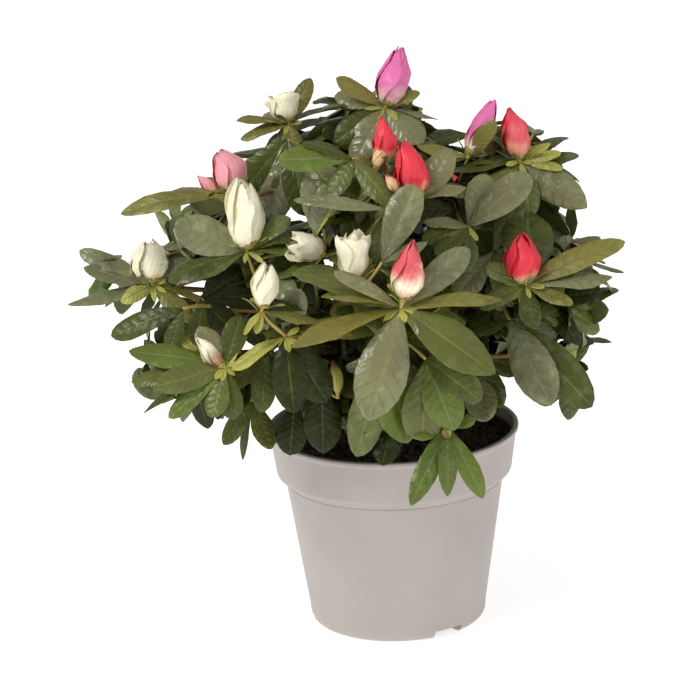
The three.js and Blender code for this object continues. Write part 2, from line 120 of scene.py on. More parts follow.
FRONT_SHOOTS = (
    Shoot("top", (1, 164), 16, 17, 5, ("magenta", 30, 16.5, 0.08), (
        (306, 29, 10, 15, 0.5, "olive"), (290, 27, 12, -5, 0.5, "grey"), (66, 19, 8, 10, 0.6, "olive"),
        (212, 34, 17, 15, 0.9, "grey"), (134, 27, 16, 15, 0.8, "grey"), (98, 27, 8, 0, 0.1, "grey"),
        (238, 31, 15, 5, 0.7, "deep"),
    )),
    Shoot("top_left", (-49, 157), 14, -12, 5, ("cream", 15, 14, 0.9), (
        (26, 26, 10, 5, 0.8, "olive"), (281, 27, 10, 0, 0.2, "olive"), (262, 26, 10, 5, 0.2, "olive"),
        (172, 20, 12, 25, 0.7, "olive"), (203, 40, 18, 10, 0.8, "deep"),
    )),
    Shoot("under_top_left", (-50, 149), 26, 190, 0, None, (
        (196, 44, 20, -5, 0.9, "grey"), (224, 42, 17, -5, 0.9, "deep"), (168, 40, 17, -5, 0.9, "deep"),
    ), 3),
    Shoot("upper_pinkred", (1, 135), 8, -3, 15, ("red", 22, 12, 0.0), ((226, 26, 11, 5, 0.6, "mid"),)),
    Shoot("bright_pair", (-17, 138), 5, 180, 10, None, (
        (272, 37, 13, 10, 0.7, "bright"), (141, 32, 12, 20, 0.8, "mid"), (296, 26, 11, 0, 0.6, "deep"),
        (214, 26, 12, 0, 0.6, "mid"),
    ), 4),
    Shoot("side_bud_upper", (-5, 131), 8, 14, 5, ("peach", 14, 7, 0.0), (), 0),
    Shoot("big_red", (17, 116), 6, -12, 12, ("red", 28, 17, 0.08), (
        (34, 30, 15, 0, 0.8, "grey"), (75, 24, 11, 10, 0.4, "grey"), (215, 30, 13, 0, 0.5, "deep"),
    )),
    Shoot("thin_grey", (1, 111), 2, 280, 0, None, (
        (280, 47, 8, 0, 0.5, "grey"), (268, 30, 7, 5, 0.3, "olive"), (236, 27, 12, -5, 0.8, "deep"),
        (196, 27, 13, -5, 0.8, "mid"),
    ), 2),
    Shoot("side_bud_red", (8, 119), 6, -42, 5, ("peach", 10, 6, 0.0), (), 0),
    Shoot("magenta_right", (43, 137), 12, 31, 0, ("magenta", 29, 13, 0.06), (
        (38, 26, 9, 40, 0.7, "olive"), (286, 26, 9, 5, 0.4, "olive"), (262, 26, 10, 10, 0.3, "deep"),
    )),
    Shoot("salmon", (70, 134), 10, -8, 8, ("rose", 26, 15, 0.0), (
        (77, 21, 7, 10, 0.6, "young"), (58, 18, 6, 0, 0.6, "young"), (96, 22, 7, 15, 0.5, "young"),
        (127, 41, 17, 10, 0.8, "grey"), (268, 42, 12, 5, 0.15, "deep"), (222, 41, 19, 20, 0.8, "mid"),
        (172, 30, 14, 20, 0.7, "mid"), (194, 34, 13, 0, 0.6, "grey"),
    )),
    Shoot("pink_left", (-77, 122), 12, -18, 5, ("pink", 21, 17, 0.1), (
        (275, 26, 9, 5, 0.5, "olive"), (268, 60, 12, 5, 0.5, "olive"), (272, 42, 12, -10, 0.0, "grey"),
    )),
    Shoot("side_bud_pink", (-86, 121), 10, -45, 0, ("pink", 13, 6.5, 0.0), (), 0),
    Shoot("cream_tall", (-73, 92), 6, -2, 10, ("cream", 33, 19, 0.12), (
        (292, 38, 20, 10, 0.85, "grey"), (257, 42, 16, 10, 0.3, "deep"), (51, 27, 11, 0, 0.5, "mid"),
        (87, 27, 11, 5, 0.4, "mid"), (247, 34, 12, 15, 0.3, "mid"),
    )),
    Shoot("left_shoulder", (-107, 93), 4, 307, 0, None, (
        (307, 24, 16, 5, 0.8, "grey"), (262, 20, 9, 0, 0.5, "deep"),
    ), 3),
    Shoot("left_inner", (-97, 68), 30, 90, 0, None, (
        (58, 30, 14, -5, 0.9, "dark"), (88, 34, 14, -5, 0.9, "dark"), (138, 30, 14, -5, 0.9, "dark"),
        (186, 24, 12, -5, 0.9, "deep"),
    ), 3),
    Shoot("far_left", (-122, 76), 10, -10, 5, ("cream", 20, 20, 0.05), (
        (303, 42, 11, 0, 0.5, "grey"), (288, 36, 13, 5, 0.5, "grey"), (260, 44, 11, 5, 0.4, "grey"),
        (243, 19, 9, 20, 0.9, "young"), (133, 28, 11, 15, 0.6, "olive"), (104, 36, 9, 0, 0.2, "olive"),
        (45, 27, 11, -10, 0.6, "grey"),
    )),
    Shoot("far_left_low", (-107, 63), 12, 250, 0, None, (
        (254, 39, 13, 0, 0.5, "deep"), (200, 24, 10, 5, 0.5, "deep"),
    ), 3),
    Shoot("grey_furled", (-37, 98), 6, 0, 10, None, (
        (-6, 30, 10, 10, 0.9, "grey"), (12, 27, 10, 5, 0.9, "grey"), (25, 23, 7, 5, 0.3, "young"),
    ), 4),
    Shoot("cream_short", (-32, 88), 6, -62, 20, ("cream", 19, 13.5, 0.5), (
        (250, 26, 12, 5, 0.3, "mid"), (110, 26, 12, 5, 0.3, "mid"),
    ), 4),
    Shoot("cream_lobed", (-17, 75), 6, -4, 15, ("cream", 23, 15, 0.5), (
        (285, 30, 12, 10, 0.4, "mid"), (160, 24, 12, 5, 0.4, "deep"),
    ), 4),
    Shoot("cream_brown", (-66, 61), 6, 10, 10, ("cream", 21, 13, 0.03), (
        (100, 30, 11, 5, 0.2, "olive"), (222, 15, 6, 10, 0.3, "young"), (196, 12, 5, 10, 0.3, "young"),
        (15, 13, 8, 25, 0.8, "olive"),
    ), 5),
    Shoot("scaly", (-86, 32), 6, -46, 15, ("scaly", 19, 9, 0.0), (
        (286, 48, 15, 5, 0.6, "bright"), (268, 47, 14, 5, 0.6, "mid"), (257, 36, 14, 20, 0.8, "mid"),
        (250, 46, 10, 5, 0.1, "deep"), (231, 37, 10, 10, 0.6, "bright"), (196, 26, 12, 15, 0.7, "mid"),
        (172, 26, 13, 5, 0.6, "deep"), (330, 24, 13, 0, 0.9, "grey"), (18, 27, 13, 0, 0.8, "deep"),
    ), 4),
    Shoot("low_left_inner", (-64, 40), 26, 180, 0, None, (
        (136, 30, 13, -5, 0.9, "dark"), (186, 31, 13, -5, 0.9, "deep"), (228, 27, 11, -5, 0.9, "deep"),
        (322, 20, 10, -5, 0.9, "dark"),
    ), 3),
    Shoot("low_left_fringe", (-72, 14), 14, 200, 0, None, (
        (198, 31, 5, 0, 0.05, "deep"), (218, 27, 11, 5, 0.5, "mid"), (160, 26, 12, 5, 0.6, "mid"),
    ), 0),
    Shoot("low_left_twigs", (-54, 47), 8, -30, 15, None, (
        (68, 38, 11, 10, 0.15, "olive"), (84, 34, 11, 15, 0.3, "olive"), (245, 31, 10, 10, 0.1, "young"),
        (176, 38, 18, 12, 0.8, "dark"), (148, 38, 20, 8, 0.9, "dark"),
    ), 4),
    Shoot("front", (6, 60), 2, 14, 25, ("salmon", 30, 17, 0.04), (
        (198, 57, 26, 6, 1.0, "grey"), (126, 56, 22, 12, 0.9, "mid"), (292, 56, 14, 5, 0.5, "mid"),
        (303, 38, 8, 20, 0.6, "grey"), (50, 45, 15, 0, 0.8, "grey"), (82, 50, 13, 10, 0.5, "olive"),
        (257, 57, 16, 10, 0.1, "olive"), (286, 40, 12, 15, 0.1, "olive"),
    ), 6, 7),
    Shoot("below_front", (-3, 38), 34, 190, 0, None, (
        (197, 57, 19, -5, 0.9, "mid"), (166, 47, 24, -5, 0.9, "bright"), (150, 38, 18, -8, 0.9, "mid"),
    ), 4),
    Shoot("under_front", (18, 33), 42, 150, 0, None, (
        (184, 42, 22, -5, 0.9, "mid"), (160, 38, 20, -5, 0.9, "bright"), (128, 34, 17, -5, 0.9, "deep"),
        (96, 32, 16, -5, 0.8, "deep"),
    ), 4),
    Shoot("over_rim_right", (44, 34), 44, 150, 0, None, (
        (160, 32, 17, -5, 0.9, "deep"), (106, 26, 14, -5, 0.9, "deep"), (200, 30, 15, -5, 0.9, "deep"),
    ), 3),
    Shoot("centre_leaf", (-3, 84), -7, 29, 10, None, (
        (25, 41, 18, 9, 0.95, "grey"), (62, 24, 10, 5, 0.4, "grey"),
    ), 2),
    Shoot("behind_centre", (36, 110), 8, 190, 0, None, (
        (272, 32, 15, -5, 0.8, "mid"), (214, 36, 16, -5, 0.9, "deep"), (160, 34, 16, -5, 0.9, "mid"),
        (96, 34, 15, -5, 0.8, "deep"),
    ), 4),
    Shoot("behind_right", (55, 88), 6, 190, 0, None, (
        (164, 30, 14, -5, 0.9, "mid"), (104, 28, 13, -5, 0.9, "mid"), (222, 31, 15, -5, 0.9, "grey"),
        (28, 28, 13, -5, 0.8, "mid"),
    ), 4),
    Shoot("plain_centre", (42, 101), -32, 10, 45, None, (
        (283, 23, 9, 10, 0.5, "grey"), (262, 25, 10, 10, 0.4, "mid"), (50, 41, 17, 10, 0.8, "grey"),
        (18, 30, 14, 0, 0.8, "grey"), (84, 24, 12, 15, 0.5, "mid"), (232, 25, 11, 20, 0.6, "deep"),
        (134, 25, 12, 15, 0.6, "deep"), (184, 24, 12, 10, 0.7, "deep"),
    ), 4),
    Shoot("lower_red", (71, 70), 4, -9, 12, ("red", 24, 19, 0.15), (
        (5, 42, 27, -15, 0.9, "deep"), (63, 54, 15, 5, 0.5, "olive"), (83, 43, 14, 10, 0.5, "grey"),
        (300, 22, 11, 5, 0.6, "mid"), (248, 27, 12, 20, 0.6, "mid"), (172, 24, 12, 25, 0.7, "deep"),
        (112, 26, 10, 20, 0.5, "olive"),
    )),
    Shoot("right_low", (62, 52), 4, 150, 20, None, (
        (156, 48, 22, 15, 0.95, "grey"), (138, 60, 22, -5, 0.9, "deep"), (255, 26, 11, 10, 0.4, "deep"),
    ), 4),
    Shoot("round_grey", (43, 24), 4, 170, 30, None, (
        (168, 27, 17, 25, 1.0, "grey"), (140, 22, 12, 10, 0.7, "deep"),
    ), 1),
    Shoot("yellow_small", (-28, 15), 8, 0, 10, ("scale", 16, 6.5, 0.0), (), 0),
    Shoot("rim_shoot", (28, -2), 4, 190, 40, ("scale", 7, 5, 0.3), (
        (207, 43, 12, 12, 0.8, "bright"), (180, 35, 10, 20, 0.9, "bright"),
        (154, 40, 11, 12, 0.8, "bright"), (262, 18, 8, 20, 0.7, "bright"), (75, 15, 7, 20, 0.7, "bright"),
        (14, 20, 9, 25, 0.8, "bright"),
    ), 2, 1),
    Shoot("inside_rim_left", (-50, 14), 14, 188, 10, None, ((188, 28, 15, 5, 0.9, "dark"),), 0),
    Shoot("inside_rim_middle", (-36, 20), 14, 182, 10, None, ((181, 33, 20, 5, 0.9, "dark"),), 0),
    Shoot("inside_rim_right", (3, 10), 10, 198, 10, None, ((198, 32, 15, 5, 0.9, "dark"),), 0),
)


# Gaps of the front view: how far right of the rim's middle and above it, and their radius, in mm
CLEARINGS = (
    (-49, 115, 4), (-102, 75, 3), (-132, 102, 8), (-74, 44, 2), (-57, 36, 2), (-63, 13, 3), (45, -2, 8),
    (59, 4, 6), (24, 2, 4), (-18, -17, 5), (-8, -21, 7), (1, -19, 7), (10, -20, 6), (-17, 188, 7),
    (-4, 186, 6),
)
# The crown's outline in the front view, leftwards from its top, as right of the rim's middle and above it
OUTLINE = np.array((
    (7, 199), (-26, 183), (-46, 172), (-68, 160), (-78, 151), (-90, 139), (-102, 130), (-135, 122),
    (-140, 112), (-150, 101), (-155, 87), (-160, 68), (-144, 60), (-126, 50), (-130, 42), (-136, 31),
    (-131, 19), (-100, 22), (-113, 7), (-83, -9), (-61, -21), (10, -26), (59, -23), (82, -5), (108, 4),
    (113, 35), (126, 46), (130, 77), (130, 92), (114, 119), (101, 143), (76, 161), (68, 162), (54, 154),
    (42, 145), (34, 147), (22, 156), (14, 178),
)) * MM
# How far a leaf's tip may stand out of the masses, and out of the frame's box
FRINGE = 8 * MM
BOX_MARGIN = 11 * MM


def srgb(red, green, blue):
    """A colour as a screen shows it, 0 to 255, as the linear numbers that shaders take."""
    levels = np.array([red, green, blue]) / 255.0
    linear = np.where(levels > 0.04045, ((levels + 0.055) / 1.055) ** 2.4, levels / 12.92)
    return tuple(float(level) for level in linear)


def setting(kind, **fixed):
    """A short call for one kind of setting, which then takes its name, description and default."""
    def made(name, description, default):
        return kind(name=name, description=description, default=default, **fixed)

    return made


Distance = setting(bpy.props.FloatProperty, min=0.0, precision=5, subtype="DISTANCE", unit="LENGTH")
Colour = setting(bpy.props.FloatVectorProperty, size=3, min=0.0, max=1.0, subtype="COLOR")
Share = setting(bpy.props.FloatProperty, min=0.0, max=1.0, subtype="FACTOR")
Number = setting(bpy.props.FloatProperty)
Count = setting(bpy.props.IntProperty, min=0)


class AzaleaPotSettings(bpy.types.PropertyGroup):
    """Sizes and colour of the moulded pot"""

    lip_height: Distance("Lip height", "Height of the rounded lip at the rim", 3.2 * MM)
    lip_overhang: Distance("Lip overhang", "How far the lip stands out of the collar", 1.2 * MM)
    collar_height: Distance("Collar height", "Height of the collar with its lip", 23 * MM)
    collar_foot: Distance("Collar foot radius", "Outer radius at the foot of the collar", 61 * MM)
    step_height: Distance("Step height", "Height of the slope under the collar", 3.6 * MM)
    body_top: Distance("Body top radius", "Outer radius of the body under the step", 56.4 * MM)
    body_foot: Distance("Body foot radius", "Outer radius of the body at its foot", 45.6 * MM)
    foot_corner: Distance("Foot corner radius", "Radius of the rounded corner at the foot", 5 * MM)
    wall: Distance("Wall thickness", "Thickness of the wall and the floor", 1.4 * MM)
    notch_width: Distance("Notch width", "Width of the three notches in the foot", 17 * MM)
    notch_height: Distance("Notch height", "Height of the three notches in the foot", 4.6 * MM)
    notch_inner: Distance("Notch start", "How far from the middle a notch starts", 22 * MM)
    hole_radius: Distance("Drain hole radius", "Radius of the drain holes", 4 * MM)
    hole_distance: Distance("Drain hole distance", "How far from the middle the holes are", 33 * MM)
    segments: Count("Segments", "Steps round the pot", 160)
    plastic: Colour("Plastic", "Colour of the moulded plastic", srgb(173, 164, 158))


class AzaleaPeatSettings(bpy.types.PropertyGroup):
    """Relief and colours of the peat"""

    lump_height: Distance("Lump height", "How far the surface rises and falls", 1.6 * MM)
    crumb_size: Distance("Crumb size", "Mean radius of a crumb", 1.1 * MM)
    crumbs: Count("Crumbs", "How many crumbs lie on the surface", 700)
    dark: Colour("Dark peat", "Colour of the moist peat", srgb(38, 26, 21))
    light: Colour("Light peat", "Colour of the drier fibres", srgb(92, 68, 52))


class AzaleaBarkSettings(bpy.types.PropertyGroup):
    """Relief and colours of stem, boughs and twigs"""

    relief: Distance("Relief", "Depth of the furrows on the stem", 0.55 * MM)
    furrow: Colour("Furrow", "Colour in the furrows of the bark", srgb(64, 44, 32))
    ridge: Colour("Ridge", "Colour of the ridges of the bark", srgb(134, 104, 78))
    green_twig: Colour("Young twig", "Colour of this year's twigs", srgb(170, 156, 84))
    brown_twig: Colour("Older twig", "Colour of last year's twigs", srgb(140, 102, 60))
    twig_radius: Distance("Twig radius", "Radius of a twig at its tip", 0.75 * MM)


class AzaleaLeafSettings(bpy.types.PropertyGroup):
    """Number, sizes and colours of the leaves"""

    length: Distance("Leaf length", "Mean length of a full grown leaf", 38 * MM)
    thickness: Distance("Leaf thickness", "Thickness of a leaf", 0.35 * MM)
    per_shoot: Count("Leaves per shoot", "Leaves in the whorl at a shoot's tip", 9)
    per_twig: Count("Leaves per twig", "Leaves along the twig under its whorl", 8)
    per_bough: Count("Leaves per bough tip", "Leaves along the end of each bough", 20)
    spacing: Distance("Shoot spacing", "Least distance between two shoots", 25 * MM)
    # The dark green is painted shade: the inner and lowest leaves, which lie in the crown's shadow, take it.
    dark: Colour("Dark green", "Colour of the lowest inner leaves", srgb(40, 46, 10))
    deep: Colour("Deep green", "Colour of shaded leaves", srgb(70, 78, 26))
    grey: Colour("Grey green", "Colour of leaves with a grey bloom", srgb(118, 120, 82))
    mid: Colour("Mid green", "Colour of most leaves", srgb(90, 98, 42))
    olive: Colour("Olive", "Colour of leaves that turn olive", srgb(120, 116, 54))
    bright: Colour("Bright green", "Colour of low and sheltered leaves", srgb(92, 110, 36))
    young: Colour("Young green", "Colour of young leaves", srgb(168, 170, 80))
    underside: Colour("Underside", "Colour of the leaves' undersides", srgb(112, 116, 72))
    midrib: Colour("Midrib", "Colour of the midribs", srgb(118, 122, 76))


class AzaleaBudSettings(bpy.types.PropertyGroup):
    """Number and colours of the flower buds"""

    share: Share("Bud share", "Share of the hidden side's shoots that carry a flower bud", 0.95)
    red: Colour("Red", "Colour of red petals", srgb(232, 52, 68))
    rose: Colour("Rose", "Colour of rose red petals", srgb(230, 92, 98))
    pink: Colour("Pink", "Colour of pink petals", srgb(244, 162, 172))
    magenta: Colour("Magenta", "Colour of magenta petals", srgb(234, 116, 176))
    cream: Colour("Cream", "Colour of cream petals", srgb(252, 246, 214))
    peach: Colour("Peach", "Colour at the foot of coloured petals", srgb(240, 196, 150))
    scale: Colour("Scale", "Colour of the scales that hold a bud", srgb(168, 166, 74))
    scale_tip: Colour("Scale tip", "Colour of the scales' dry tips", srgb(134, 86, 40))


class AzaleaStageSettings(bpy.types.PropertyGroup):
    """Floor, lights and lens"""

    floor: Colour("Floor", "Colour of the floor", (0.93, 0.93, 0.93))
    floor_radius: Distance("Floor radius", "Radius of the round floor", 9.0)
    key_power: Number("Key light", "Power of the key light in watts", 39.0)
    fill_power: Number("Fill light", "Power of the fill light in watts", 9.0)
    sky: Number("Sky", "Strength of the light from the white surroundings", 0.52)
    picture: Distance("Picture width", "Width of what the camera takes in at the shrub", 0.362)


# Mesh making


def unit(vectors):
    """The vectors at length 1."""
    return vectors / np.maximum(np.linalg.norm(vectors, axis=-1, keepdims=True), 1e-12)


def lengths(vectors):
    """How long each vector is."""
    return np.linalg.norm(vectors, axis=-1)


def across(vectors, axis):
    """The part of each vector that is square to its axis, as a unit vector."""
    return unit(vectors - (vectors * axis).sum(-1, keepdims=True) * axis)


def smooth_step(low, high, value):
    """0 up to low, 1 from high on, and between them 3s^2 - 2s^3 of the share s of the way."""
    share = np.clip((value - low) / (high - low), 0.0, 1.0)
    return share * share * (3.0 - 2.0 * share)


def round_steps(count):
    """Angles in equal steps round a circle."""
    return np.linspace(0, 2 * math.pi, count, endpoint=False)


def running_sum(steps):
    """The sum of the steps before each point of a row, from 0 at its start."""
    return np.concatenate([np.zeros((*steps.shape[:-1], 1)), np.cumsum(steps, -1)], -1)


def spokes_of(axis):
    """A call that gives the direction square to an axis at an angle round it."""
    first = across(RIGHT if abs(axis[0]) < 0.8 else SKYWARD, axis)
    second = np.cross(axis, first)
    return lambda turn: first * math.cos(turn) + second * math.sin(turn)


def ripple(points, seed, wavelength, waves=9):
    """Uneven relief of about -1 to 1: twice the mean of sine waves of like length in seeded directions."""
    random = np.random.default_rng(seed)
    directions = unit(random.normal(size=(waves, 3)))
    pitch = 2 * math.pi / (wavelength * random.uniform(0.6, 1.6, waves))
    phase = random.uniform(0, 2 * math.pi, waves)
    return np.sin(points @ (directions * pitch[:, None]).T + phase).mean(-1) * 2.0


def add_object(name, data):
    made = bpy.data.objects.new(name, data)
    bpy.context.scene.collection.objects.link(made)
    return made


def make_piece(name, points, faces, materials, face_slots=None, uv=None, crisp=None):
    """A piece from an array of points and a list of face arrays, each of faces with as many corners. crisp
    is (sides, rims): the edges that run along a surface at these points of its rings shade as creases."""
    mesh = bpy.data.meshes.new(name)
    mesh.vertices.add(len(points))
    mesh.vertices.foreach_set("co", np.ascontiguousarray(points, np.float32).ravel())
    corners = np.concatenate([group.ravel() for group in faces]).astype(np.int32)
    sizes = np.concatenate([np.full(len(group), group.shape[1]) for group in faces])
    mesh.loops.add(len(corners))
    mesh.loops.foreach_set("vertex_index", corners)
    mesh.polygons.add(len(sizes))
    mesh.polygons.foreach_set("loop_start", (np.cumsum(sizes) - sizes).astype(np.int32))
    mesh.polygons.foreach_set("use_smooth", np.ones(len(sizes), bool))
    for material in materials:
        mesh.materials.append(material)
    if face_slots is not None:
        mesh.polygons.foreach_set("material_index", np.concatenate(face_slots).astype(np.int32))
    if uv is not None:
        layer = mesh.uv_layers.new(name="surface")
        layer.uv.foreach_set("vector", np.ascontiguousarray(uv[corners], np.float32).ravel())
    mesh.update(calc_edges=True)
    mesh.validate()
    if crisp is not None:
        sides, rims = crisp
        ends = np.empty(len(mesh.edges) * 2, np.int32)
        mesh.edges.foreach_get("vertices", ends)
        ends = ends.reshape(-1, 2) % sides
        mesh.edges.foreach_set("use_edge_sharp", (ends[:, 0] == ends[:, 1]) & np.isin(ends[:, 0], rims))
    return add_object(name, mesh)


def settle(piece, slot, *nodes):
    """The piece rides on the one body and stands for its nodes. The slot is not used."""
    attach(piece, "root")
    if nodes:
        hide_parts(*nodes)


def tube_faces(tubes, rings, sides):
    """Quads round and along many alike tubes, and a face over each of their ends. Each quad joins points k
    and k + 1 of one ring with the same two of the next."""
    ring = np.arange(rings - 1)[:, None] * sides
    k = np.arange(sides)[None, :]
    following = (k + 1) % sides
    quads = np.stack([ring + k, ring + following, ring + sides + following, ring + sides + k], -1)
    starts = np.arange(tubes)[:, None] * rings * sides
    quads = (quads.reshape(1, -1, 4) + starts[:, :, None]).reshape(-1, 4)
    first = np.arange(sides)[::-1][None, :] + starts
    last = np.arange(sides)[None, :] + (rings - 1) * sides + starts
    return [quads, first, last]


def make_tubes(name, points, materials, face_slots=None, uv=None, rims=()):
    """A piece of many alike closed tubes from their points, as an array (tubes, rings, sides, 3)."""
    tubes, rings, sides = points.shape[:3]
    faces = tube_faces(tubes, rings, sides)
    crisp = (sides, rims) if rims else None
    return make_piece(name, points.reshape(-1, 3), faces, materials, face_slots, uv, crisp)


def tube_points(paths, radii, sides):
    """Tubes along many paths of as many points: a circle of sides points, square to the path, round each of
    its points. paths is (tubes, rings, 3) and radii (tubes, rings) or (tubes, rings, sides)."""
    tangents = unit(np.gradient(paths, axis=1))
    mean = unit(paths[:, -1] - paths[:, 0])
    least = np.eye(3)[np.abs(mean).argmin(-1)]
    side = across(np.broadcast_to(least[:, None], paths.shape), tangents)
    other = np.cross(tangents, side)
    angle = round_steps(sides)
    circle = np.cos(angle)[:, None] * side[:, :, None] + np.sin(angle)[:, None] * other[:, :, None]
    if radii.ndim == 2:
        radii = radii[:, :, None]
    return paths[:, :, None] + circle * np.broadcast_to(radii, circle.shape[:3])[..., None]


def turned_points(profile, segments):
    """Each (radius, height) of the profile, carried round the Z axis in equal steps."""
    angle = round_steps(segments)
    radius = profile[:, :1]
    height = np.broadcast_to(profile[:, 1:], (len(profile), segments))
    return np.stack([radius * np.cos(angle), radius * np.sin(angle), height], -1).reshape(-1, 3)


def close_seams(piece, gap=1e-6):
    """Merges points that lie together, which closes poles, and turns all faces outwards."""
    shape = bmesh.new()
    shape.from_mesh(piece.data)
    bmesh.ops.remove_doubles(shape, verts=shape.verts, dist=gap)
    bmesh.ops.recalc_face_normals(shape, faces=shape.faces)
    shape.to_mesh(piece.data)
    shape.free()


def make_turned(name, points, segments, material):
    """A closed piece from the points of a profile that starts and ends on the Z axis."""
    piece = make_piece(name, points, tube_faces(1, len(points) // segments, segments)[:1], [material])
    close_seams(piece)
    return piece


# Finishes


class Finish:
    """A material with one Principled shader, and short calls for the nodes that feed it"""

    def __init__(self, name, colour, roughness):
        self.material = bpy.data.materials.new(name)
        self.material.use_nodes = True
        self.tree = self.material.node_tree
        self.shader = self.tree.nodes["Principled BSDF"]
        self.put(self.shader.inputs["Base Color"], colour)
        self.put(self.shader.inputs["Roughness"], roughness)

    def node(self, kind, **inputs):
        made = self.tree.nodes.new(kind)
        for name, value in inputs.items():
            self.put(made.inputs[name], value)
        return made

    def put(self, socket, value):
        if isinstance(value, bpy.types.NodeSocket):
            self.tree.links.new(value, socket)
        elif socket.type == "RGBA":
            socket.default_value = (*value[:3], 1.0)
        else:
            socket.default_value = value

    def map(self):
        """The piece's own map, as (along, across) from 0 to 1."""
        reader = self.node("ShaderNodeUVMap")
        reader.uv_map = "surface"
        parts = self.node("ShaderNodeSeparateXYZ", Vector=reader.outputs["UV"])
        return parts.outputs["X"], parts.outputs["Y"]

    def noise(self, scale, detail=3.0, roughness=0.5, upright=None):
        """Noise of some scale. Where upright is given, it is drawn out along Z by 1 over that."""
        vector = self.node("ShaderNodeTexCoord").outputs["Object"]
        if upright is not None:
            mapping = self.node("ShaderNodeMapping", Vector=vector)
            mapping.inputs["Scale"].default_value = (1.0, 1.0, upright)
            vector = mapping.outputs["Vector"]
        settings = {"Scale": scale, "Detail": detail, "Roughness": roughness}
        return self.node("ShaderNodeTexNoise", Vector=vector, **settings).outputs["Fac"]

    def spread(self, value, low, high, to_low=0.0, to_high=1.0):
        """A value from low to high, spread from to_low to to_high."""
        ends = {"From Min": low, "From Max": high, "To Min": to_low, "To Max": to_high}
        return self.node("ShaderNodeMapRange", Value=value, **ends).outputs["Result"]

    def clouds(self, scale, low=0.0, high=1.0, detail=3.0):
        """Noise of some scale, spread from low to high."""
        return self.spread(self.noise(scale, detail), 0.3, 0.7, low, high)

    def maths(self, operation, first, second):
        made = self.node("ShaderNodeMath")
        made.operation = operation
        self.put(made.inputs[0], first)
        self.put(made.inputs[1], second)
        return made.outputs["Value"]

    def blend(self, share, first, second):
        made = self.node("ShaderNodeMix")
        made.data_type = "RGBA"
        self.put(made.inputs["Factor"], share)
        colours = [socket for socket in made.inputs if socket.type == "RGBA"]
        self.put(colours[0], first)
        self.put(colours[1], second)
        return next(socket for socket in made.outputs if socket.type == "RGBA")

    def finished(self, tone, roughness, relief, depth, strength):
        """The material with these driving its colour, its roughness and the height of its bumps."""
        self.put(self.shader.inputs["Base Color"], tone)
        self.put(self.shader.inputs["Roughness"], roughness)
        made = self.node("ShaderNodeBump", Height=relief, Distance=depth, Strength=strength)
        self.put(self.shader.inputs["Normal"], made.outputs["Normal"])
        return self.material


def tinted(colour, *factors):
    """The colour times one factor, or times one each for red, green and blue."""
    return tuple(min(level * factor, 1.0) for level, factor in zip(colour, factors * 3))


def pot_plastic(settings):
    """Moulded plastic: faint clouds and flow lines in its colour, light scuffs and a fine grain."""
    colour = settings.plastic
    finish = Finish("pot_plastic", colour, 0.46)
    clouds = finish.clouds(24.0)
    tone = finish.blend(clouds, tinted(colour, 0.95), tinted(colour, 1.04))
    flow = finish.noise(30.0, 4.0, upright=0.12)
    tone = finish.blend(finish.spread(flow, 0.45, 0.75, 0.0, 0.3), tone, tinted(colour, 0.9))
    scuffs = finish.noise(150.0, 5.0, upright=2.4)
    tone = finish.blend(finish.spread(scuffs, 0.66, 0.74, 0.0, 0.35), tone, tinted(colour, 1.18))
    roughness = finish.clouds(60.0, 0.4, 0.52, 4.0)
    return finish.finished(tone, roughness, finish.noise(1400.0, 2.0), 0.00004, 0.5)


def peat_finish(settings):
    """Moist peat: dark crumbs with paler fibres and specks."""
    finish = Finish("peat", settings.dark, 0.95)
    crumbs = finish.noise(420.0, 6.0, 0.7)
    tone = finish.blend(finish.spread(crumbs, 0.45, 0.75), settings.dark, settings.light)
    specks = finish.spread(finish.noise(900.0, 1.0), 0.7, 0.74, 0.0, 0.6)
    tone = finish.blend(specks, tone, tinted(settings.light, 1.6))
    roughness = finish.spread(crumbs, 0.3, 0.7, 0.75, 1.0)
    return finish.finished(tone, roughness, finish.noise(700.0, 6.0, 0.7), 0.0008, 0.9)


def bark_finish(settings):
    """Thin bark: furrows and ridges drawn out along the limb, with fine flakes."""
    finish = Finish("bark", settings.ridge, 0.85)
    long_grain = finish.noise(420.0, 5.0, upright=0.22)
    flakes = finish.noise(240.0, 4.0)
    grain = finish.maths("MULTIPLY", finish.maths("ADD", long_grain, flakes), 0.5)
    tone = finish.blend(finish.spread(grain, 0.38, 0.62), settings.furrow, settings.ridge)
    return finish.finished(tone, finish.spread(flakes, 0.3, 0.7, 0.72, 0.95), grain, 0.0006, 0.8)


def twig_finish(name, colour, roughness):
    """A young shoot: a fine grain and a few warm patches on a smooth rind."""
    finish = Finish(name, colour, roughness)
    patches = finish.spread(finish.noise(110.0), 0.4, 0.68, 0.0, 0.75)
    tone = finish.blend(patches, colour, tinted(colour, 1.25, 0.8, 0.6))
    gloss = finish.clouds(300.0, roughness - 0.08, roughness + 0.1)
    return finish.finished(tone, gloss, finish.noise(1500.0), 0.0002, 0.6)


def leaf_veins(finish):
    """How near a place on a leaf is to a side vein, from 0 on the vein to 1 between two. The veins leave the
    midrib in pairs and slant towards the tip."""
    along, side = finish.map()
    off_midrib = finish.maths("ABSOLUTE", finish.maths("SUBTRACT", side, 0.5), 0.0)
    slanted = finish.maths("SUBTRACT", along, finish.maths("MULTIPLY", off_midrib, 0.34))
    wave = finish.maths("PINGPONG", finish.maths("MULTIPLY", slanted, 8.0), 0.5)
    return finish.spread(wave, 0.0, 0.5)


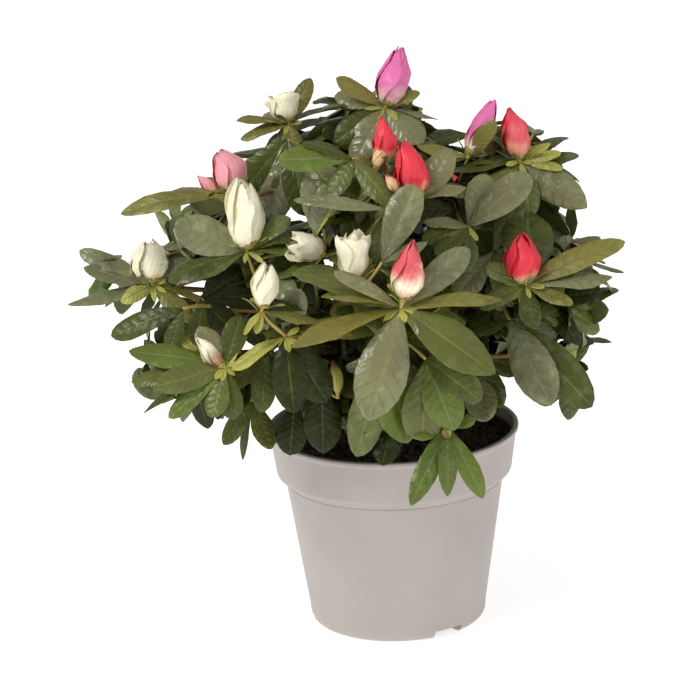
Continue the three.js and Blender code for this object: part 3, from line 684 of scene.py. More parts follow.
def leaf_upper(name, colour, roughness, sheen):
    """A leathery upper side: sunk veins darkened by painted shade, pale flecks of painted sheen, and a tone
    that drifts over the crown.
    """
    finish = Finish(name, colour, roughness)
    finish.shader.inputs["Specular IOR Level"].default_value = sheen
    veins = leaf_veins(finish)
    drift = finish.spread(finish.noise(48.0, 2.0), 0.32, 0.68)
    tone = finish.blend(drift, tinted(colour, 0.7), tinted(colour, 1.24))
    # Painted shade: the leaf turns darker in its sunk side veins
    tone = finish.blend(finish.spread(veins, 0.0, 0.3, 0.5, 0.0), tone, tinted(colour, 0.5))
    # Painted sheen: pale flecks that stand in for light glancing off the glossy leaf
    pale = tuple(min(level * 1.7 + 0.025, 1.0) for level in colour)
    tone = finish.blend(finish.spread(finish.noise(150.0, 4.0), 0.54, 0.7, 0.0, 0.5), tone, pale)
    warmth = finish.spread(finish.noise(21.0, 1.0), 0.45, 0.64, 0.0, 0.7)
    tone = finish.blend(warmth, tone, tinted(colour, 1.12, 1.0, 0.85))
    gloss = finish.clouds(170.0, roughness - 0.07, roughness + 0.1)
    wrinkles = finish.maths("MULTIPLY", finish.noise(190.0, 2.5), 2.2)
    height = finish.maths("ADD", finish.spread(veins, 0.0, 0.6, 0.0, 0.4), wrinkles)
    return finish.finished(tone, gloss, height, 0.0005, 0.7)


def leaf_plain(name, colour, roughness):
    """A pale leaf part, such as the underside or the midrib, with a faint mottling."""
    finish = Finish(name, colour, roughness)
    mottling = finish.clouds(90.0)
    tone = finish.blend(mottling, tinted(colour, 0.84), tinted(colour, 1.14))
    gloss = finish.clouds(200.0, roughness - 0.05, roughness + 0.07)
    return finish.finished(tone, gloss, finish.noise(800.0), 0.0002, 0.5)


def petal_finish(name, foot, body, tip, start, end):
    """A furled petal in cloudy tones with fine ribs along it, and painted shade in the grooves between the
    ribs.
    Its foot's colour turns to the body's between the shares start and end of the way up, and that to the
    tip's close to the tip."""
    finish = Finish(name, body, 0.5)
    along, side = finish.map()
    uneven = finish.maths("ADD", along, finish.clouds(110.0, -0.15, 0.15))
    tone = finish.blend(finish.spread(uneven, start, end), foot, body)
    tone = finish.blend(finish.spread(uneven, 0.65, 0.95), tone, tip)
    clouds = finish.spread(finish.noise(140.0), 0.5, 0.72, 0.0, 0.5)
    tone = finish.blend(clouds, tone, tinted(body, 0.74))
    # Painted shade: the petal turns darker in the grooves between its ribs
    ribs = finish.maths("PINGPONG", finish.maths("MULTIPLY", side, 7.0), 0.5)
    tone = finish.blend(finish.spread(ribs, 0.0, 0.2, 0.3, 0.0), tone, tinted(body, 0.7))
    gloss = finish.clouds(220.0, 0.4, 0.56)
    return finish.finished(tone, gloss, finish.maths("ADD", ribs, finish.noise(420.0)), 0.0003, 0.45)


def floor_finish(colour, glow):
    """A matt white floor with hardly visible clouds, which gives off a faint glow."""
    finish = Finish("floor", colour, 0.9)
    clouds = finish.clouds(3.0)
    finish.put(finish.shader.inputs["Base Color"], finish.blend(clouds, tinted(colour, 0.99), colour))
    finish.shader.inputs["Emission Color"].default_value = (1.0, 1.0, 1.0, 1.0)
    finish.shader.inputs["Emission Strength"].default_value = glow
    return finish.material


# Reading the frame


def node_mesh(name):
    """The points and the triangles of a node's mesh."""
    mesh = frame["nodes"][name].data
    points = np.empty(len(mesh.vertices) * 3, np.float32)
    mesh.vertices.foreach_get("co", points)
    corners = np.empty(len(mesh.loops), np.int32)
    mesh.loops.foreach_get("vertex_index", corners)
    return points.reshape(-1, 3).astype(float), corners.reshape(-1, 3)


def rings_of(points, direction):
    """Centres and radii of a limb's rings: its points, sorted along a direction and parted at gaps."""
    height = points @ direction
    order = height.argsort()
    steps = np.diff(height[order])
    parts = np.split(points[order], np.flatnonzero(steps > RING_GAP) + 1)
    parts = [part for part in parts if len(part) >= RING_POINTS]
    centres = np.array([part.mean(0) for part in parts])
    radii = np.array([lengths(part - part.mean(0)).mean() for part in parts])
    return centres, radii


def smooth_path(points, count):
    """A Catmull-Rom curve through the points, at evenly spaced shares of the way."""
    padded = np.concatenate([[2 * points[0] - points[1]], points, [2 * points[-1] - points[-2]]])
    share = np.linspace(0, len(points) - 1, count)
    start = np.minimum(share.astype(int), len(points) - 2)
    t = (share - start)[:, None]
    a, b, c, d = (padded[start + k] for k in range(4))
    return 0.5 * (2 * b + (c - a) * t + (2 * a - 5 * b + 4 * c - d) * t**2 + (3 * b - 3 * c + d - a) * t**3)


Limb = namedtuple("Limb", "name path radii")
LIMB_RINGS = 44
# Rings of a limb's mesh lie further apart than this and have at least so many points
RING_GAP = 1.5 * MM
RING_POINTS = 6
# How far a second ray starts behind the surface that the first has hit
JUST_INSIDE = 1e-5


def read_limbs():
    """The stem and boughs of the frame as smooth paths with radii. Each bough starts inside its parent."""
    shares = np.linspace(0, 1, LIMB_RINGS)
    limbs = []

    def add(name, centres, radii):
        own = np.linspace(0, 1, len(radii))
        limbs.append(Limb(name, smooth_path(centres, LIMB_RINGS), np.interp(shares, own, radii)))

    add("stem", *rings_of(node_mesh("stem")[0], SKYWARD))
    waiting = {name: node_mesh(name)[0] for name in BOUGHS}
    while waiting:
        spine = np.concatenate([limb.path for limb in limbs])
        gaps = {name: lengths(own[:, None] - spine).min(1) for name, own in waiting.items()}
        name = min(gaps, key=lambda name: gaps[name].min())
        points = waiting.pop(name)
        start = points[gaps[name].argmin()]
        far = points[lengths(points - start).argmax()]
        centres, radii = rings_of(points, unit(far - start))
        foot = spine[lengths(spine - centres[0]).argmin()]
        add(name, np.concatenate([[foot], centres]), np.concatenate([radii[:1], radii]))
    return limbs


class Crown:
    """The frame's masses of foliage, for finding where a line of sight or a point meets them"""

    def __init__(self):
        self.meshes = {name: node_mesh(name) for name in MASSES}
        self.trees = {
            name: BVHTree.FromPolygons(points.tolist(), triangles.tolist())
            for name, (points, triangles) in self.meshes.items()
        }
        self.middles = {name: points.mean(0) for name, (points, _) in self.meshes.items()}
        self.centre = np.mean(list(self.middles.values()), 0)

    def depth_at(self, point):
        """How deep a point lies in the mass that holds it deepest, below 0 outside them all, down to -1."""
        point = Vector(point)
        depths = [-1.0]
        for tree in self.trees.values():
            spot, normal, _, gap = tree.find_nearest(point)
            depths.append(gap if (point - spot).dot(normal) < 0 else -gap)
        return max(depths)

    def hits(self, way):
        """Where a line from the eye meets the masses, as (distance, spot, mass)."""
        found = [(*self.trees[name].ray_cast(Vector(EYE), way), name) for name in MASSES]
        return [(gap, spot, name) for spot, _, _, gap, name in found if spot is not None]

    def along_sight(self, place, depth):
        """The point of a line of sight that lies depth inside the crown, and at most halfway through its
        mass, with that mass's name."""
        ray = unit(RIM_CENTRE + RIGHT * place[0] * MM + UPWARD * place[1] * MM - EYE)
        gap, spot, name = min(self.hits(Vector(ray)), key=lambda hit: hit[0])
        chord = self.trees[name].ray_cast(spot + Vector(ray) * JUST_INSIDE, Vector(ray))[3]
        return EYE + ray * (gap + min(depth * MM, chord / 2)), name


# Growth rule


Site = namedtuple("Site", "base axis mass shoot tone scale bud")
# The tones of leaves, each with its roughness and how strongly it mirrors light
TONE_GLOSS = {
    "dark": (0.34, 0.2), "deep": (0.3, 0.3), "grey": (0.27, 0.5), "mid": (0.31, 0.4),
    "olive": (0.36, 0.35), "bright": (0.34, 0.4), "young": (0.42, 0.4),
}
TONES = tuple(TONE_GLOSS)
# The tones of the leaves along the twigs, in each tier: the lower the tier, the darker, as painted shade
# inside the crown.
INNER_TONES = {
    "low": ("dark", "dark", "deep"),
    "middle": ("deep", "deep", "mid", "mid", "grey"),
    "upper": ("deep", "mid", "mid", "grey", "olive"),
    "top": ("deep", "mid", "mid", "grey", "olive"),
}
SITE_SEED = 41
LEAF_SEED = 7
PETAL_SEED = 19
CRUMB_SEED = 23

# How many points of each mass's surface are tried as shoots, how far each kept one moves inwards, in mm,
# where it faces the eye and elsewhere, and how much closer the shoots of the far side stand
SAMPLES = 90
FRONT_INSET = (18, 26)
INSET = (11, 19)
FAR_SIDE_SPACING = 0.86
# How squarely a normal faces the eye, from 1 to -1: at least this in front, and at most these where a place
# belongs to the far side or is hidden. One that points further down than this is under the crown
FRONT_FACING = 0.35
FAR_SIDE_FACING = 0.1
HIDDEN_FACING = -0.25
UNDERSIDE = -0.75
# How deep in a mass a place still counts as outside, and how far behind the crown's middle a bud is hidden
BURIED = 6 * MM
BEHIND_MIDDLE = 15 * MM
# How high over the rim a seeded shoot stays, over the pot and beside it
OVER_POT = 12 * MM
BESIDE_POT = 2 * MM
# A seeded shoot that keeps fewer leaves than this is left out
LEAST_LEAVES = 4
# A whorl's innermost and outermost leaves open by these angles from its axis, in degrees
WHORL_OPENING = (46, 92)
# The share of a whorl's leaves that stray from its shoot's tone
STRAY_SHARE = 0.22
# A whorl's heart: how far out it reaches, from 0 to 1, and the share and the shortening of its young leaves
HEART_AGE = 0.16
HEART_SHARE = 0.35
HEART_LENGTH = 0.6
SEEDED_BUDS = ("red", "rose", "salmon", "pink", "magenta", "cream", "cream", "red")
# A bud of the hidden side has this much of the crown before its tip, stays this far within the outline, and
# keeps its middle, which is this far under its tip, off the gaps of the front view
BUD_COVER = 52 * MM
BUD_HEADROOM = 8 * MM
BUD_MIDDLE = 12 * MM
BUD_OFF_GAP = 14 * MM
# What a twig's way costs beside its own length: a share of the way from its start to the bough, a length for
# each turn at its start and its end, and a length if it would be too short
WALK_COST = 0.45
TURN_COST = 0.012
TOO_SHORT_COST = 0.05


def on_clock(clock, toward):
    """A direction in the front view: clock degrees clockwise from up, leaning toward degrees to the eye."""
    turn = math.radians(clock)
    lean = math.radians(toward)
    flat = RIGHT * math.sin(turn) + UPWARD * math.cos(turn)
    return unit(flat * math.cos(lean) + TOWARD * math.sin(lean))


def tone_for(random, height):
    """The leaf tone of a shoot: greyer high up; low down brighter green or, as painted shade, dark green."""
    low = 1.0 - smooth_step(0.12, 0.23, height)
    weights = np.array([
        0.15 * low, 0.18 + 0.15 * low, 0.42 - 0.3 * low, 0.2, 0.16 - 0.08 * low, 0.02 + 0.26 * low, 0.02,
    ])
    return str(random.choice(TONES, p=weights / weights.sum()))


def front_sites(crown):
    sites = []
    for shoot in FRONT_SHOOTS:
        base, mass = crown.along_sight(shoot.place, shoot.depth)
        sites.append(Site(base, on_clock(shoot.clock, shoot.toward), mass, shoot, None, 1.0, shoot.bud))
    return sites


def screened(crown, tip):
    """True if the eye can't see a bud with this tip: enough of the crown lies before it, it stays within the
    outline, and it is off the gaps of the front view."""
    way = Vector(tip - EYE)
    nearest = min((gap for gap, _, _ in crown.hits(way.normalized())), default=way.length)
    gaps = np.array(CLEARINGS) * MM
    off_gaps = np.hypot(*(gaps[:, :2] - seen_at(tip - SKYWARD * BUD_MIDDLE)).T) > gaps[:, 2] + BUD_OFF_GAP
    within = in_outline(seen_at(tip + SKYWARD * BUD_HEADROOM))
    return way.length - nearest > BUD_COVER and within and off_gaps.all()


def hidden_bud(crown, base, axis, random):
    """A seeded bud for a shoot of the hidden side, or None where the eye could see it."""
    kind = str(random.choice(SEEDED_BUDS))
    length = random.uniform(19, 31)
    openness = random.choice([0.0, 0.0, 0.1, 0.4]) if kind == "cream" else random.choice([0.0, 0.0, 0.08])
    bud = (kind, length, length * random.uniform(0.5, 0.66), openness)
    return bud if screened(crown, base + axis * (length + 8) * MM) else None


def surface_samples(crown, random):
    """Seeded points of the masses' surfaces, with their normals and the names of their masses."""
    points, normals, names = [], [], []
    for name, (own, triangles) in crown.meshes.items():
        corners = own[triangles]
        normal = np.cross(corners[:, 1] - corners[:, 0], corners[:, 2] - corners[:, 0])
        area = lengths(normal)
        picked = random.choice(len(area), SAMPLES, p=area / area.sum())
        share = random.dirichlet((1, 1, 1), SAMPLES)
        points.append((corners[picked] * share[:, :, None]).sum(1))
        normals.append(unit(normal[picked]))
        names += [name] * SAMPLES
    return np.concatenate(points), np.concatenate(normals), names


def seeded_sites(crown, taken, settings, buds):
    """Shoots over the rest of the crown: points of the masses' surfaces in a seeded order, each kept if it
    lies on the outside and no nearer to another shoot than the spacing, then moved a little inwards."""
    random = np.random.default_rng(SITE_SEED)
    points, normals, names = surface_samples(crown, random)
    kept = [site.base for site in taken]
    sites = []
    for k in random.permutation(len(points)):
        normal = normals[k]
        facing = normal @ TOWARD
        base = points[k] - normal * random.uniform(*(FRONT_INSET if facing > FRONT_FACING else INSET)) * MM
        spacing = settings.spacing * (FAR_SIDE_SPACING if facing < FAR_SIDE_FACING else 1.0)
        over_pot = np.hypot(base[0], base[1]) < RIM_RADIUS + 8 * MM
        if (
            lengths(np.array(kept) - base).min() < spacing
            or normal[2] < UNDERSIDE
            or base[2] < POT_HEIGHT + (OVER_POT if over_pot else BESIDE_POT)
            or crown.depth_at(points[k] + normal * 1 * MM) > BURIED
        ):
            continue
        outward = unit(base - crown.centre)
        axis = unit(0.7 * normal + 0.4 * outward + 0.45 * SKYWARD + 0.22 * random.normal(size=3))
        bud = None
        hidden = facing < HIDDEN_FACING and (base - crown.centre) @ TOWARD < -BEHIND_MIDDLE
        if random.random() < buds.share and axis[2] > -0.1 and hidden:
            axis = unit(axis + 0.6 * SKYWARD)
            bud = hidden_bud(crown, base, axis, random)
        tone, scale = tone_for(random, base[2]), random.uniform(0.85, 1.1)
        kept.append(base)
        sites.append(Site(base, axis, names[k], None, tone, scale, bud))
    return sites


Twig = namedtuple("Twig", "path parent site mass")
TWIG_POINTS = 9


def bent_path(start, start_way, end, end_way, count):
    """A cubic Bezier curve that leaves start along one direction and reaches end along another."""
    reach = lengths(end - start) * 0.36
    a, b, c, d = start, start + start_way * reach, end - end_way * reach, end
    t = np.linspace(0, 1, count)[:, None]
    return (1 - t) ** 3 * a + 3 * (1 - t) ** 2 * t * b + 3 * (1 - t) * t**2 * c + t**3 * d


def beside(site):
    """True for a small bud beside a front shoot, which has no leaves of its own."""
    return site.shoot is not None and not site.shoot.leaves


def grow_twigs(crown, limbs, sites):
    """The branching rule. In each mass the bough goes on to the mass's middle. Then the shoots are taken in
    turn from the nearest outwards, and each sends its twig back to the point of the grown twigs that is
    cheapest to reach, counting also the way from that point to the bough."""
    twigs = []
    by_name = {limb.name: limb for limb in limbs}
    for mass in MASSES:
        bough = by_name[mass.replace("foliage_", "bough_")].path
        tip = bough[-1]
        onward = unit(crown.middles[mass] - tip)
        middle = tip + (crown.middles[mass] - tip) * 0.9
        trunk = bent_path(tip, unit(tip - bough[-4]), middle, onward, TWIG_POINTS)
        twigs.append(Twig(trunk, None, None, mass))
        grown = [(trunk, len(twigs) - 1, lengths(trunk - tip))]
        own = [site for site in sites if site.mass == mass]
        for site in sorted(own, key=lambda site: (beside(site), lengths(site.base - tip))):
            starts = []
            for path, index, walked in grown:
                tangents = unit(np.gradient(path, axis=0))
                gap = site.base - path
                length = lengths(gap)
                turn = (tangents * unit(gap)).sum(1)
                arrival = unit(gap) @ site.axis
                cost = length + WALK_COST * walked + TURN_COST * (1 - turn) + TURN_COST * (1 - arrival)
                cost[length < (1 if beside(site) else 7) * MM] += TOO_SHORT_COST
                k = int(cost.argmin())
                starts.append((cost[k], path[k], tangents[k], index, walked[k]))
            _, start, tangent, parent, walked = min(starts, key=lambda found: found[0])
            onward = unit(site.base - start)
            leave, arrive = unit(0.5 * tangent + onward), unit(0.6 * site.axis + 0.8 * onward)
            path = bent_path(start, leave, site.base, arrive, TWIG_POINTS)
            twigs.append(Twig(path, parent, site, mass))
            steps = running_sum(lengths(np.diff(path, axis=0)))
            grown.append((path, len(twigs) - 1, walked + steps))
    return twigs


def twig_loads(twigs):
    """How many shoots each twig carries, its own included."""
    loads = np.ones(len(twigs))
    for index in range(len(twigs) - 1, -1, -1):
        if twigs[index].parent is not None:
            loads[twigs[index].parent] += loads[index]
    return loads


def clothed(twigs, leaves):
    """True for each twig that carries leaves or a bud, or a twig that does."""
    kept = np.isin(np.arange(len(twigs)), leaves.owner)
    for index in range(len(twigs) - 1, -1, -1):
        twig = twigs[index]
        kept[index] |= twig.site is not None and twig.site.bud is not None
        if kept[index] and twig.parent is not None:
            kept[twig.parent] = True
    return kept


LeafSet = namedtuple("LeafSet", "base along upper length width droop fold tone tier anchor owner wave")


def chosen(records, keep):
    """The records of a set for which keep is true."""
    return type(records)(*(column[keep] for column in records))


def whorl(site, count, random, settings, behind_only=False):
    """The leaves of one shoot: each a golden angle on from the last and further out from the shoot's axis,
    with its upper side towards the shoot's tip and a little to the sky."""
    axis = site.axis
    spoke = spokes_of(axis)
    start = random.uniform(0, 2 * math.pi)
    leaves = []
    for step in range(count * 4):
        if len(leaves) == count:
            break
        radial = spoke(start + step * GOLDEN_ANGLE)
        if behind_only and radial @ TOWARD > -0.15:
            continue
        age = (len(leaves) + random.uniform(0, 1)) / count
        opening = math.radians(np.interp(age, (0, 1), WHORL_OPENING) + random.uniform(-8, 8))
        along = unit(axis * math.cos(opening) + radial * math.sin(opening) - SKYWARD * 0.12 * age)
        along = unit(along - SKYWARD * max(0.0, along[2] - 0.5))
        upper = axis * math.sin(opening) - radial * math.cos(opening) + 0.35 * SKYWARD
        upper = upper + 0.22 * random.normal(size=3)
        length = settings.length * site.scale * (0.72 + 0.34 * age) * random.uniform(0.88, 1.12)
        tone = site.tone
        if random.random() < STRAY_SHARE:
            tone = str(random.choice(TONES[1:6]))
        if age < HEART_AGE and random.random() < HEART_SHARE:
            tone = "young"
            length *= HEART_LENGTH
        width = length * random.uniform(0.36, 0.48)
        droop, fold = random.uniform(0.1, 0.75), random.uniform(0.05, 0.3)
        leaves.append((site.base, along, upper, length, width, droop, fold, tone))
    return leaves


def leaves_along(twig, count, random, settings):
    """Leaves on the outer part of a twig, under its whorl: spread round it and turned to the sky."""
    tangents = unit(np.gradient(twig.path, axis=0))
    inner = INNER_TONES[twig.mass.split("_")[1]]
    start = random.uniform(0, 2 * math.pi)
    leaves = []
    for k in range(count):
        spot = (0.16 + 0.72 * (k + random.uniform(0, 0.8)) / count) * (TWIG_POINTS - 1)
        low = int(spot)
        base = twig.path[low] + (twig.path[low + 1] - twig.path[low]) * (spot - low)
        tangent = tangents[low]
        radial = spokes_of(tangent)(start + k * GOLDEN_ANGLE)
        along = unit(0.45 * tangent + radial - SKYWARD * random.uniform(0.0, 0.3))
        upper = SKYWARD + 0.4 * tangent + 0.3 * random.normal(size=3)
        length = settings.length * random.uniform(0.7, 1.02)
        tone = str(random.choice(inner))
        width = length * random.uniform(0.38, 0.5)
        droop, fold = random.uniform(0.15, 0.8), random.uniform(0.05, 0.25)
        leaves.append((base, along, upper, length, width, droop, fold, tone))
    return leaves


def bracts(site, random):
    """Small young leaves round the foot of a bud."""
    foot, axis, _, radius = bud_place(site)
    spoke = spokes_of(axis)
    start = random.uniform(0, 2 * math.pi)
    leaves = []
    for k in range(4):
        radial = spoke(start + k * GOLDEN_ANGLE)
        along = unit(axis + radial * random.uniform(0.9, 1.6))
        base = foot - axis * random.uniform(1.0, 3.0) * MM + radial * radius * 0.35
        length, width = random.uniform(7, 12) * MM, random.uniform(2.6, 3.8) * MM
        droop = random.uniform(0.1, 0.5)
        leaves.append((base, along, axis - radial * 0.5, length, width, droop, 0.3, "young"))
    return leaves


def heart(site, random):
    """The smallest leaves, in the middle of a front shoot's whorl."""
    leaves = []
    start = random.uniform(0, 360)
    for k in range(7):
        clock = start + k * 51 + random.uniform(-16, 16)
        along = on_clock(clock, random.uniform(5, 40))
        length = random.uniform(6, 11) * MM
        if along @ site.axis > 0.35:
            continue
        width, droop = random.uniform(2.4, 3.8) * MM, random.uniform(0.1, 0.5)
        leaves.append((site.base, along, TOWARD + 0.5 * SKYWARD, length, width, droop, 0.3, "young"))
    return leaves


def shown_leaves(site, random):
    """The leaves of a front shoot as its list gives them. Those round a bud stray less from it."""
    leaves = []
    loose = 1.0 if site.bud is None else 0.15
    for clock, length, width, toward, facing, tone in site.shoot.leaves:
        along = on_clock(clock, toward + loose * random.uniform(-9, 15))
        upper = TOWARD * facing + SKYWARD * (1.05 - facing) + (0.05 + 0.08 * loose) * random.normal(size=3)
        droop, fold = random.uniform(0.12, 0.4), random.uniform(0.06, 0.34)
        leaves.append((site.base, along, upper, length * MM, width * MM, droop, fold, tone))
    return leaves


def leaf_groups(twig, random, settings):
    """The leaves of one twig and its shoot, as pairs: a list, and whether the front view holds it there."""
    site = twig.site
    if site is None:
        yield leaves_along(twig, settings.per_bough, random, settings), False
        return
    if site.bud is not None and site.bud[0] in SEEDED_BUDS:
        yield bracts(site, random), True
    if site.shoot is None:
        yield whorl(site, settings.per_shoot, random, settings), False
    else:
        shown = shown_leaves(site, random)
        yield shown + (heart(site, random) if len(shown) > 4 else []), True
        yield whorl(site._replace(tone="deep", scale=0.9), site.shoot.extra, random, settings, True), False
    if site.shoot is None or site.shoot.extra > 0:
        yield leaves_along(twig, settings.per_twig, random, settings), False


def grow_leaves(crown, twigs, sites, settings):
    """All leaves as arrays, without those in the pot or a bud or out of the crown, those that spoil the
    front view, and those of poor shoots."""
    random = np.random.default_rng(LEAF_SEED)
    rows = []
    for index, twig in enumerate(twigs):
        for group, anchor in leaf_groups(twig, random, settings):
            rows += [(*leaf, twig.mass.split("_")[1], anchor, index) for leaf in group]
    columns = [np.array(column) for column in zip(*rows)]
    leaves = LeafSet(*columns, random.uniform(0, 2 * math.pi, len(rows)))
    leaves = leaves._replace(upper=across(leaves.upper, leaves.along))
    leaves = chosen(leaves, ~(in_pot(leaves) | in_buds(leaves, sites)) & in_box(leaves))
    spoils = over_shown(leaves) | in_clearings(leaves) | outside_crown(leaves, crown)
    leaves = chosen(leaves, leaves.anchor | ~spoils)
    plain = [twig.site is not None and twig.site.shoot is None and twig.site.bud is None for twig in twigs]
    poor = np.array(plain) & (np.bincount(leaves.owner, minlength=len(twigs)) < LEAST_LEAVES)
    return chosen(leaves, ~poor[leaves.owner])


def view_place(points):
    """(right, up, towards the eye) of points, measured from the rim's middle."""
    return (points - RIM_CENTRE) @ np.stack([RIGHT, UPWARD, TOWARD], 1)


def seen_at(points):
    """Where the eye sees points, as (right, up) on the plane across the view through the rim's middle."""
    places = view_place(points)
    return places[..., :2] * (VIEW_DISTANCE / (VIEW_DISTANCE - places[..., 2:]))


def in_outline(spots):
    """True for a place of the front view inside the outline: a line from it to the right crosses the
    outline an odd number of times."""
    right, above = spots[..., :1], spots[..., 1:]
    ends = np.roll(OUTLINE, -1, axis=0)
    spans = (OUTLINE[:, 1] > above) != (ends[:, 1] > above)
    slope = (ends[:, 0] - OUTLINE[:, 0]) / (ends[:, 1] - OUTLINE[:, 1])
    crossing = OUTLINE[:, 0] + slope * (above - OUTLINE[:, 1])
    return (spans & (right < crossing)).sum(-1) % 2 == 1


def over_shown(leaves):
    """True for a leaf that would lie before one of the front shoots' own leaves as the eye sees it."""
    spots = view_place(midline(leaves, np.linspace(0.2, 0.95, 6)))
    blocked = np.zeros(len(leaves.width), bool)
    for shown in np.flatnonzero(leaves.anchor & (leaves.length > 12 * MM)):
        gap = spots[:, :, None] - spots[shown]
        apart = np.hypot(gap[..., 0], gap[..., 1])
        reach = (0.2 * (leaves.width + leaves.width[shown]))[:, None, None]
        blocked |= ((apart < reach) & (gap[..., 2] > 1 * MM)).any((1, 2))
    return blocked


def in_clearings(leaves):
    """True for a leaf that would close one of the gaps of the front view."""
    spots = seen_at(midline(leaves, np.linspace(0.0, 1.0, 8)))
    closed = np.zeros(len(leaves.base), bool)
    for right, above, radius in CLEARINGS:
        apart = np.hypot(spots[..., 0] - right * MM, spots[..., 1] - above * MM)
        closed |= (apart < radius * MM + (leaves.width * 0.35)[:, None]).any(1)
    return closed


def outside_crown(leaves, crown):
    """True for a leaf whose tip stands out of all masses by more than the fringe, or out of the outline."""
    tips = midline(leaves, np.array([0.9]))[:, 0]
    over = ~in_outline(seen_at(midline(leaves, np.array([0.6, 0.95])))).all(1)
    return over | np.array([crown.depth_at(tip) < -FRINGE for tip in tips])


def midline(leaves, shares):
    """Points of the leaves' midlines at some shares of their length, with a plain sag for their droop."""
    reach = leaves.length[:, None] * shares
    sag = -leaves.upper[:, None] * (reach * leaves.droop[:, None] * shares * 0.5)[..., None]
    return leaves.base[:, None] + leaves.along[:, None] * reach[..., None] + sag


def in_pot(leaves):
    """True for a leaf that runs into the peat, or through the rim unless the front view holds it there."""
    points = midline(leaves, np.array([0.3, 0.6, 0.8, 1.0]))
    radius = np.hypot(points[..., 0], points[..., 1])
    within = (radius < RIM_RADIUS + 3 * MM) & (points[..., 2] < POT_HEIGHT + 1.5 * MM)
    return within.any(1) & ~leaves.anchor | ((points[..., 2] < PEAT_TOP) & (radius < RIM_RADIUS)).any(1)


def in_box(leaves):
    """True for a leaf that stays within the frame's box and a small margin."""
    low, high = (np.array(corner) for corner in CAD_BOX)
    points = midline(leaves, np.array([0.7, 1.0]))
    return ((points > low - BOX_MARGIN) & (points < high + BOX_MARGIN)).all((1, 2))


def in_buds(leaves, sites):
    """True for a leaf that runs through a bud, or stands before a front shoot's bud as the eye sees it."""
    points = midline(leaves, np.linspace(0.15, 1.0, 7))
    anchor = leaves.anchor[:, None, None]
    blocked = np.zeros(len(leaves.base), bool)
    for site in sites:
        if site.bud is None:
            continue
        foot, axis, length, radius = bud_place(site)
        gap = points[:, :, None] - (foot + axis * np.linspace(0.1, 1.0, 6)[:, None] * length)
        own = lengths(leaves.base - site.base) < 12 * MM
        blocked |= (lengths(gap).min((1, 2)) < radius * 1.05) & ~own
        if site.shoot is not None:
            apart = lengths(np.stack([gap @ RIGHT, gap @ UPWARD], -1))
            half = (leaves.width * 0.42)[:, None, None]
            upper_half = np.arange(6) > 2
            over = (apart < radius * 0.85 + half) & ~anchor | (apart < radius * 0.6) & anchor & upper_half
            blocked |= (over & (gap @ TOWARD > 0)).any((1, 2)) & ~(own & leaves.anchor)
    return blocked


def bud_place(site):
    """(foot, axis, length, radius) of a shoot's bud."""
    _, length, width, _ = site.bud
    stalk = site.shoot.stalk if site.shoot is not None else 6
    return site.base + site.axis * stalk * MM, site.axis, length * MM, width * MM / 2


def plan_crown(context):
    """Everything that the twigs, leaves and buds share, worked out the same way each time."""
    scene = context.scene
    crown = Crown()
    limbs = read_limbs()
    sites = front_sites(crown)
    sites += seeded_sites(crown, sites, scene.azalea_leaf, scene.azalea_bud)
    return crown, limbs, sites, grow_twigs(crown, limbs, sites)


# Leaf and petal surfaces


# A leaf's rows, as shares of its length, the places across it from rim to rim with one more under the
# midrib, which of them lies under, which are its rims, and the part that the face after each belongs to: 0
# the blade, 1 the midrib and 2 the underside
LEAF_ROWS = np.array([0.0, 0.12, 0.28, 0.45, 0.62, 0.77, 0.89, 0.965, 1.0])
LEAF_ACROSS = np.array([-1.0, -0.5, -0.045, 0.045, 0.5, 1.0, 0.0])
LEAF_UNDER = np.array([0, 0, 0, 0, 0, 0, 1])
LEAF_RIMS = [0, 5]
LEAF_FACE_PARTS = np.array([0, 0, 1, 0, 0, 2, 2])

# The tones of the darker leaves' midribs, a little paler. The others have the midrib's own colour
MIDRIB_TONES = {"dark": "deep", "deep": "mid", "mid": "olive"}


def leaf_points(leaves, thickness):
    """Leaf surfaces. The midline bends down by the droop angle and waves a little. At share s of it the
    half width is s**a * (1 - s)**b, scaled to the leaf's width and never under a stalk's. Across it, at t
    from -1 to 1, the blade rises by the fold angle, swells between midrib and rim, and its rim curls down
    and waves. The last point of each ring lies under the midrib by the thickness. Towards its tip the blade
    twists a little."""
    count = len(leaves.base)
    random = np.random.default_rng(count)
    a = random.uniform(0.8, 1.15, (count, 1))
    b = random.uniform(0.52, 0.78, (count, 1))
    s = LEAF_ROWS[None, :]
    outline = s**a * (1 - s) ** b
    peak = a / (a + b)
    outline = outline / (peak**a * (1 - peak) ** b)
    half = np.maximum(leaves.width[:, None] / 2 * outline, np.where(s < 0.5, 0.6 * MM, 0.35 * MM))[..., None]
    wave = leaves.wave[:, None]
    bend = 0.16 * s * np.sin(2 * wave + 6 * s) - leaves.droop[:, None] * s**1.2
    step = np.diff(LEAF_ROWS) * leaves.length[:, None]
    middle = (bend[:, 1:] + bend[:, :-1]) / 2
    forward, rise = running_sum(step * np.cos(middle)), running_sum(step * np.sin(middle))
    t = LEAF_ACROSS[None, None, :]
    angle = (leaves.fold[:, None] * (1.0 - 0.5 * s))[..., None]
    sideways = t * half * np.cos(angle)
    lift = np.abs(t) * half * np.sin(angle) + 0.46 * half * np.abs(t) * (1 - np.abs(t)) - 0.2 * half * t**6
    lift = lift + np.abs(t) ** 2 * 0.13 * half * np.sin(wave[..., None] + 9 * s[..., None] + 2.2 * t)
    lift = lift - LEAF_UNDER * thickness
    twist = ((wave / math.pi - 1.0) * 0.35 * s)[..., None]
    aside = sideways * np.cos(twist) - lift * np.sin(twist)
    lift = sideways * np.sin(twist) + lift * np.cos(twist)
    ahead = forward[..., None] - lift * np.sin(bend)[..., None]
    above = rise[..., None] + lift * np.cos(bend)[..., None]
    ways = (leaves.along, np.cross(leaves.upper, leaves.along), leaves.upper)
    return carried(leaves.base, zip((ahead, aside, above), ways))


